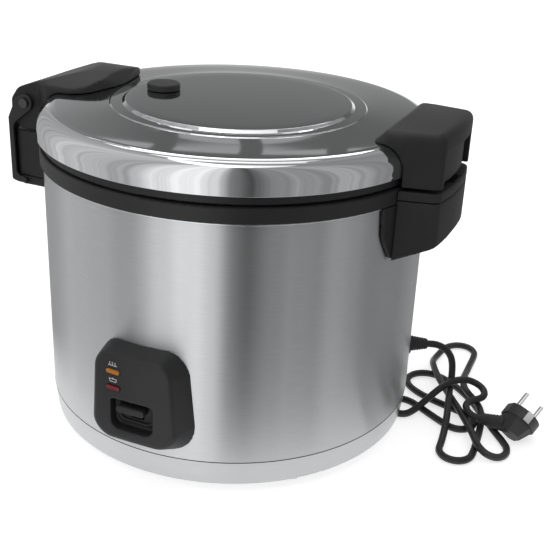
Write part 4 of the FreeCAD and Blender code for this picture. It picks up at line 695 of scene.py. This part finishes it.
def addWebs(bm, v):
    for side in (-1, 1):
        columns = []
        for k in range(v["steps"] + 1):
            y = v["from"] + (v["to"] - v["from"]) * k / v["steps"]
            rise = eased((y - v["from"]) / (v["full"] - v["from"]))
            low = v["skinLow"] + (v["low"] - v["skinLow"]) * rise
            high = v["skinHigh"] + (v["high"] - v["skinHigh"]) * rise
            section = ((v["inner"], low), (v["outer"], low), (v["outer"], high), (v["inner"], high))
            columns.append([bm.verts.new((-math.sqrt(r * r - y * y) * mm, side * y * mm, z * mm))
                            for r, z in section])
        faces = [bm.faces.new(columns[0]), bm.faces.new(columns[-1])]
        for a, b in zip(columns, columns[1:]):
            for k in range(len(a)):
                n = (k + 1) % len(a)
                faces.append(bm.faces.new((a[k], a[n], b[n], b[k])))
        bmesh.ops.recalc_face_normals(bm, faces=faces)


def softCopy(node, voxel, passes):
    mesh = nodes[node].data.copy()
    obj = bpy.data.objects.new(node + ".soft", mesh)
    scene.collection.objects.link(obj)
    bm = bmesh.new()
    bm.from_mesh(mesh)
    bmesh.ops.remove_doubles(bm, verts=bm.verts, dist=weldDistance)
    if node == "hinge_yoke":
        addWebs(bm, web)
    bm.to_mesh(mesh)
    bm.free()
    shape = obj.modifiers.new("shape", "REMESH")
    shape.mode = "VOXEL"
    shape.voxel_size = voxel * mm
    shape.use_smooth_shade = True
    soft = obj.modifiers.new("soft", "SMOOTH")
    soft.factor = 0.5
    soft.iterations = passes
    settle(obj)
    if node == "control_panel":
        spreadFoot(obj.data, panelFlare)
    obj.data.materials.clear()
    obj.data.materials.append(finishOf[node])
    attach(obj, nodes[node]["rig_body"])
    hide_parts(node)
    return obj


softPieces = {node: softCopy(node, *values) for node, values in moulded.items()}
print("mouldings softened:", {n: len(o.data.polygons) for n, o in softPieces.items()})


# the sensor's spring is pressed together between its seat and the cap
def makeSpring(node):
    obj = bpy.data.objects.new(node + ".coil", nodes[node].data.copy())
    scene.collection.objects.link(obj)
    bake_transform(obj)
    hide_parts(node)


makeSpring("sensor_spring")
print("spring set")


# ridge round the lever's slot, on the floor of its pocket
ridge = {"half": 16.2, "top": 88.0, "bottom": 67.0, "corner": 6.0, "cornerSteps": 8, "floor": 185.4,
         "radius": 1.7}


def makeRidge(v):
    curve = bpy.data.curves.new("pocketRidge", "CURVE")
    curve.dimensions = "3D"
    spline = curve.splines.new("POLY")
    path = [(-v["half"], v["top"])]
    for side, start in ((-1, math.pi), (1, 1.5 * math.pi)):
        for k in range(v["cornerSteps"] + 1):
            turn = start + 0.5 * math.pi * k / v["cornerSteps"]
            path.append((side * (v["half"] - v["corner"]) + v["corner"] * math.cos(turn),
                         v["bottom"] + v["corner"] + v["corner"] * math.sin(turn)))
    path.append((v["half"], v["top"]))
    spline.points.add(len(path) - 1)
    for point, (x, z) in zip(spline.points, path):
        point.co = (x * mm, -v["floor"] * mm, z * mm, 1.0)
    curve.bevel_depth = v["radius"] * mm
    curve.bevel_resolution = 5
    curve.use_fill_caps = True
    rope = bpy.data.objects.new("pocketRidge.path", curve)
    scene.collection.objects.link(rope)
    mesh = bpy.data.meshes.new_from_object(rope.evaluated_get(bpy.context.evaluated_depsgraph_get()))
    bpy.data.objects.remove(rope)
    for face in mesh.polygons:
        face.use_smooth = True
    mesh.materials.clear()
    mesh.materials.append(finishes["blackPlastic"])
    obj = bpy.data.objects.new("pocketRidge", mesh)
    scene.collection.objects.link(obj)
    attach(obj, "cooker")


makeRidge(ridge)
print("ridge made")


# plain pictures above the two lamps: steam over a bar, and a pot
pictures = {
    "width": 0.55, "proud": 0.09, "step": 0.7, "castFrom": -0.3,
    "steam": {"at": (-16.0, 123.6), "lines": [[(-4.4, -1.5), (4.4, -1.5)]] + [
        [(x - 0.25, -0.8), (x + 0.30, -0.1), (x - 0.30, 0.8), (x + 0.25, 1.6)]
        for x in (-2.6, 0.0, 2.6)]},
    "pot": {"at": (-16.0, 108.6), "lines": [
        [(-3.3, 0.5), (-3.3, -0.9), (-2.6, -1.6), (2.6, -1.6), (3.3, -0.9), (3.3, 0.5)],
        [(-4.0, 0.9), (4.0, 0.9)], [(-0.7, 1.6), (0.7, 1.6)]]},
}


def drawPictures(v, panel):
    # flat strokes laid on the panel's face
    ground = BVHTree.FromPolygons([p.co.copy() for p in panel.data.vertices],
                                  [tuple(f.vertices) for f in panel.data.polygons])
    bm = bmesh.new()

    def lay(x, z):
        spot = ground.ray_cast(Vector((x * mm, v["castFrom"], z * mm)), Vector((0, 1, 0)))[0]
        return bm.verts.new(spot - Vector((0, v["proud"] * mm, 0)))

    for name in ("steam", "pot"):
        atX, atZ = v[name]["at"]
        for line in v[name]["lines"]:
            fine = [Vector(line[0])]
            for a, b in zip(line, line[1:]):
                count = max(1, round((Vector(b) - Vector(a)).length / v["step"]))
                fine += [Vector(a).lerp(Vector(b), k / count) for k in range(1, count + 1)]
            edge = []
            for i, p in enumerate(fine):
                way = (fine[min(i + 1, len(fine) - 1)] - fine[max(i - 1, 0)]).normalized()
                side = Vector((-way.y, way.x)) * v["width"] / 2
                left, right = p - side, p + side
                edge.append((lay(atX + left.x, atZ + left.y), lay(atX + right.x, atZ + right.y)))
            for (a, b), (c, d) in zip(edge, edge[1:]):
                bm.faces.new((a, c, d, b))
    bm.normal_update()
    bmesh.ops.reverse_faces(bm, faces=[f for f in bm.faces if f.normal.y > 0])
    obj = meshObject("lampPictures", bm)
    obj.data.materials.append(finishes["markPaint"])
    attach(obj, "cooker")


drawPictures(pictures, softPieces["control_panel"])
print("pictures drawn")


# floor, light
studio = {
    "floorSize": 30.0, "floorDrop": 0.0002, "floorTone": 0.62, "floorGlow": 0.66,
    "lamps": {
        "softPanel": {"place": (-0.3, -0.6, 2.2), "aim": (0, 0, 0.2), "size": (2.2, 1.2), "power": 9.0},
        "edgePanel": {"place": (-0.1, 1.3, 1.5), "aim": (0.05, 0, 0.25), "size": (2.0, 0.2), "power": 3.5},
    },
}
# what the drum mirrors, by turn: 0 is +X, 0.25 is +Y, 0.5 is -X, 0.75 is -Y; the camera is at about 0.82
cards = {
    "radius": 0.26, "top": 0.95, "from": 0.49, "span": 0.66, "count": 96, "streaks": 70.0, "streakDepth": 0.18,
    "tones": [(0.0, 0.30), (0.05, 0.30), (0.09, 0.40), (0.16, 0.25), (0.48, 0.40), (0.56, 0.45), (0.60, 0.68),
              (0.67, 0.58), (0.71, 0.45), (0.73, 0.80), (0.75, 1.05), (0.785, 1.15), (0.80, 0.90),
              (0.813, 0.25), (0.833, 0.08), (0.85, 0.26), (0.875, 0.36), (0.91, 0.32), (0.925, 0.46),
              (0.955, 0.42), (0.975, 0.28), (1.0, 0.30)],
}
# sky by height (0 is straight down, 1 straight up), and where by turn the far sky shows
room = {
    "farSky": [(0.0, 0.95), (0.50, 1.0), (0.54, 0.85), (0.58, 0.32), (0.64, 0.14), (0.74, 0.12), (0.80, 0.16),
               (0.90, 0.30), (1.0, 0.35)],
    "nearSky": [(0.0, 0.95), (0.50, 1.0), (0.56, 0.75), (0.66, 0.36), (0.80, 0.30), (1.0, 0.35)],
    "farTurns": [(0.0, 0.0), (0.06, 0.15), (0.12, 1.0), (0.335, 1.0), (0.36, 0.45), (0.50, 0.4), (0.58, 0.1),
                 (0.62, 0.0), (1.0, 0.0)],
    # the camera's right on the floor plan, and the lowest height of the ceiling's pattern
    "right": (0.924, 0.381), "lowest": 0.02, "horizon": 0.05,
    # rows of ceiling panels: rows per ceiling height, share of a row that glows, and how far they reach;
    # they fade from full glow on the left to a share of it on the right
    "rows": {"count": 2.1, "shift": 20.3, "share": 0.56, "reach": 1.9, "depth": 1.35, "glow": 1.5,
             "fade": (-0.5, 0.6), "faded": 0.35},
    "windows": {"count": 3.6, "shift": 20.15, "share": 0.74, "near": 2.52, "far": 2.72, "left": -0.62,
                "right": 0.80, "glow": 0.26},
}


def makeFloor(v):
    bm = bmesh.new()
    bmesh.ops.create_grid(bm, x_segments=1, y_segments=1, size=v["floorSize"] / 2)
    obj = meshObject("studioFloor", bm)
    obj.location.z = -v["floorDrop"]
    mat, tree, out = newMaterial("studioFloor")
    matt = addNode(tree, "ShaderNodeBsdfDiffuse")
    setIn(matt, Color=(*grey(v["floorTone"]), 1.0))
    path = addNode(tree, "ShaderNodeLightPath")
    glow = addNode(tree, "ShaderNodeEmission")
    seen = mathNode(tree, "ADD", path.outputs["Is Camera Ray"], path.outputs["Is Glossy Ray"])
    seen = mathNode(tree, "MINIMUM", mathNode(tree, "ADD", seen, path.outputs["Is Transmission Ray"]), 1.0)
    tree.links.new(product(tree, seen, v["floorGlow"]), glow.inputs["Strength"])
    both = addNode(tree, "ShaderNodeAddShader")
    tree.links.new(matt.outputs[0], both.inputs[0])
    tree.links.new(glow.outputs[0], both.inputs[1])
    tree.links.new(both.outputs[0], out.inputs["Surface"])
    obj.data.materials.append(mat)


def turnOf(tree, axes):
    # 0 to 1 round Z from +X
    angle = mathNode(tree, "ARCTAN2", axes.outputs["Y"], axes.outputs["X"])
    return mathNode(tree, "FRACT", mathNode(tree, "ADD", mathNode(tree, "DIVIDE", angle, 2 * math.pi), 1.0))


def makeCards(v):
    # a round of grey and white cards that only reflections see
    bm = bmesh.new()
    count = v["count"]
    for level in (0.0, v["top"]):
        for k in range(count + 1):
            turn = 2 * math.pi * (v["from"] + v["span"] * k / count)
            bm.verts.new((v["radius"] * math.cos(turn), v["radius"] * math.sin(turn), level))
    bm.verts.ensure_lookup_table()
    for k in range(count):
        bm.faces.new((bm.verts[k + 1], bm.verts[k], bm.verts[count + 1 + k], bm.verts[count + 2 + k]))
    obj = meshObject("studioCards", bm)
    mat, tree, out = newMaterial("studioCards")
    place = addNode(tree, "ShaderNodeTexCoord")
    axes = addNode(tree, "ShaderNodeSeparateXYZ")
    tree.links.new(place.outputs["Object"], axes.inputs[0])
    turn = turnOf(tree, axes)
    # uneven cards give the drum its upright streaks
    streaks = addNode(tree, "ShaderNodeTexNoise", noise_dimensions="1D")
    setIn(streaks, Scale=v["streaks"], Detail=4.0, Roughness=0.7)
    tree.links.new(turn, streaks.inputs["W"])
    depth = v["streakDepth"]
    strength = mapRange(tree, streaks.outputs["Fac"], *noiseSpan, 1.0 - depth, 1.0 + depth)
    glow = addNode(tree, "ShaderNodeEmission")
    tree.links.new(ramp(tree, turn, v["tones"]), glow.inputs["Color"])
    tree.links.new(strength, glow.inputs["Strength"])
    tree.links.new(glow.outputs[0], out.inputs["Surface"])
    obj.data.materials.append(mat)
    obj.visible_camera = False
    obj.visible_diffuse = False
    obj.visible_shadow = False
    obj.visible_transmission = False


def stripes(tree, along, v):
    # 1 on the first share of each stripe, 0 on the rest
    phase = mathNode(tree, "ADD", product(tree, along, v["count"]), v["shift"])
    return mathNode(tree, "LESS_THAN", mathNode(tree, "FRACT", phase), v["share"])


def makeRoom(v):
    # pale at the horizon and overhead, grey between, darker behind the object
    world = bpy.data.worlds.new("studioRoom")
    scene.world = world
    world.use_nodes = True
    tree = world.node_tree
    tree.nodes.clear()
    out = addNode(tree, "ShaderNodeOutputWorld")
    place = addNode(tree, "ShaderNodeTexCoord")
    axes = addNode(tree, "ShaderNodeSeparateXYZ")
    tree.links.new(place.outputs["Generated"], axes.inputs[0])
    height = product(tree, mathNode(tree, "ADD", axes.outputs["Z"], 1.0), 0.5)
    mixed = addNode(tree, "ShaderNodeMix", data_type="RGBA")
    tree.links.new(ramp(tree, turnOf(tree, axes), v["farTurns"]), mixed.inputs["Factor"])
    tree.links.new(ramp(tree, height, v["nearSky"]), mixed.inputs["A"])
    tree.links.new(ramp(tree, height, v["farSky"]), mixed.inputs["B"])
    # ceiling plane: side is to the camera's right, deep is away from it
    up = mathNode(tree, "MAXIMUM", axes.outputs["Z"], v["lowest"])
    flatX = mathNode(tree, "DIVIDE", axes.outputs["X"], up)
    flatY = mathNode(tree, "DIVIDE", axes.outputs["Y"], up)
    rightX, rightY = v["right"]
    side = mathNode(tree, "ADD", product(tree, flatX, rightX), product(tree, flatY, rightY))
    deep = mathNode(tree, "SUBTRACT", product(tree, flatY, rightX), product(tree, flatX, rightY))
    above = mathNode(tree, "GREATER_THAN", axes.outputs["Z"], v["horizon"])
    # rows of panels, dimmer to the right
    r = v["rows"]
    lit = product(tree, stripes(tree, deep, r), above, between(tree, deep, -r["depth"], r["depth"]),
                  between(tree, side, -r["reach"], r["reach"]))
    panels = product(tree, lit, mapRange(tree, side, *r["fade"], r["glow"], r["glow"] * r["faded"]))
    # a row of windows low on the far wall
    w = v["windows"]
    clear = product(tree, stripes(tree, side, w), above, between(tree, deep, w["near"], w["far"]),
                    between(tree, side, w["left"], w["right"]))
    glow = mathNode(tree, "ADD", panels, product(tree, clear, w["glow"]))
    total = addNode(tree, "ShaderNodeMix", data_type="RGBA", blend_type="ADD")
    setIn(total, Factor=1.0)
    tree.links.new(mixed.outputs["Result"], total.inputs["A"])
    tree.links.new(glow, total.inputs["B"])
    back = addNode(tree, "ShaderNodeBackground")
    setIn(back, Strength=1.0)
    tree.links.new(total.outputs["Result"], back.inputs["Color"])
    tree.links.new(back.outputs[0], out.inputs["Surface"])


def makeLamp(name, v):
    data = bpy.data.lights.new(name, "AREA")
    data.shape = "RECTANGLE"
    data.size, data.size_y = v["size"]
    data.energy = v["power"]
    obj = bpy.data.objects.new(name, data)
    scene.collection.objects.link(obj)
    place = Vector(v["place"])
    turn = (Vector(v["aim"]) - place).to_track_quat("-Z", "Y")
    obj.matrix_world = Matrix.Translation(place) @ turn.to_matrix().to_4x4()


makeFloor(studio)
makeCards(cards)
makeRoom(room)
for name, values in studio["lamps"].items():
    makeLamp(name, values)
print("studio lit")
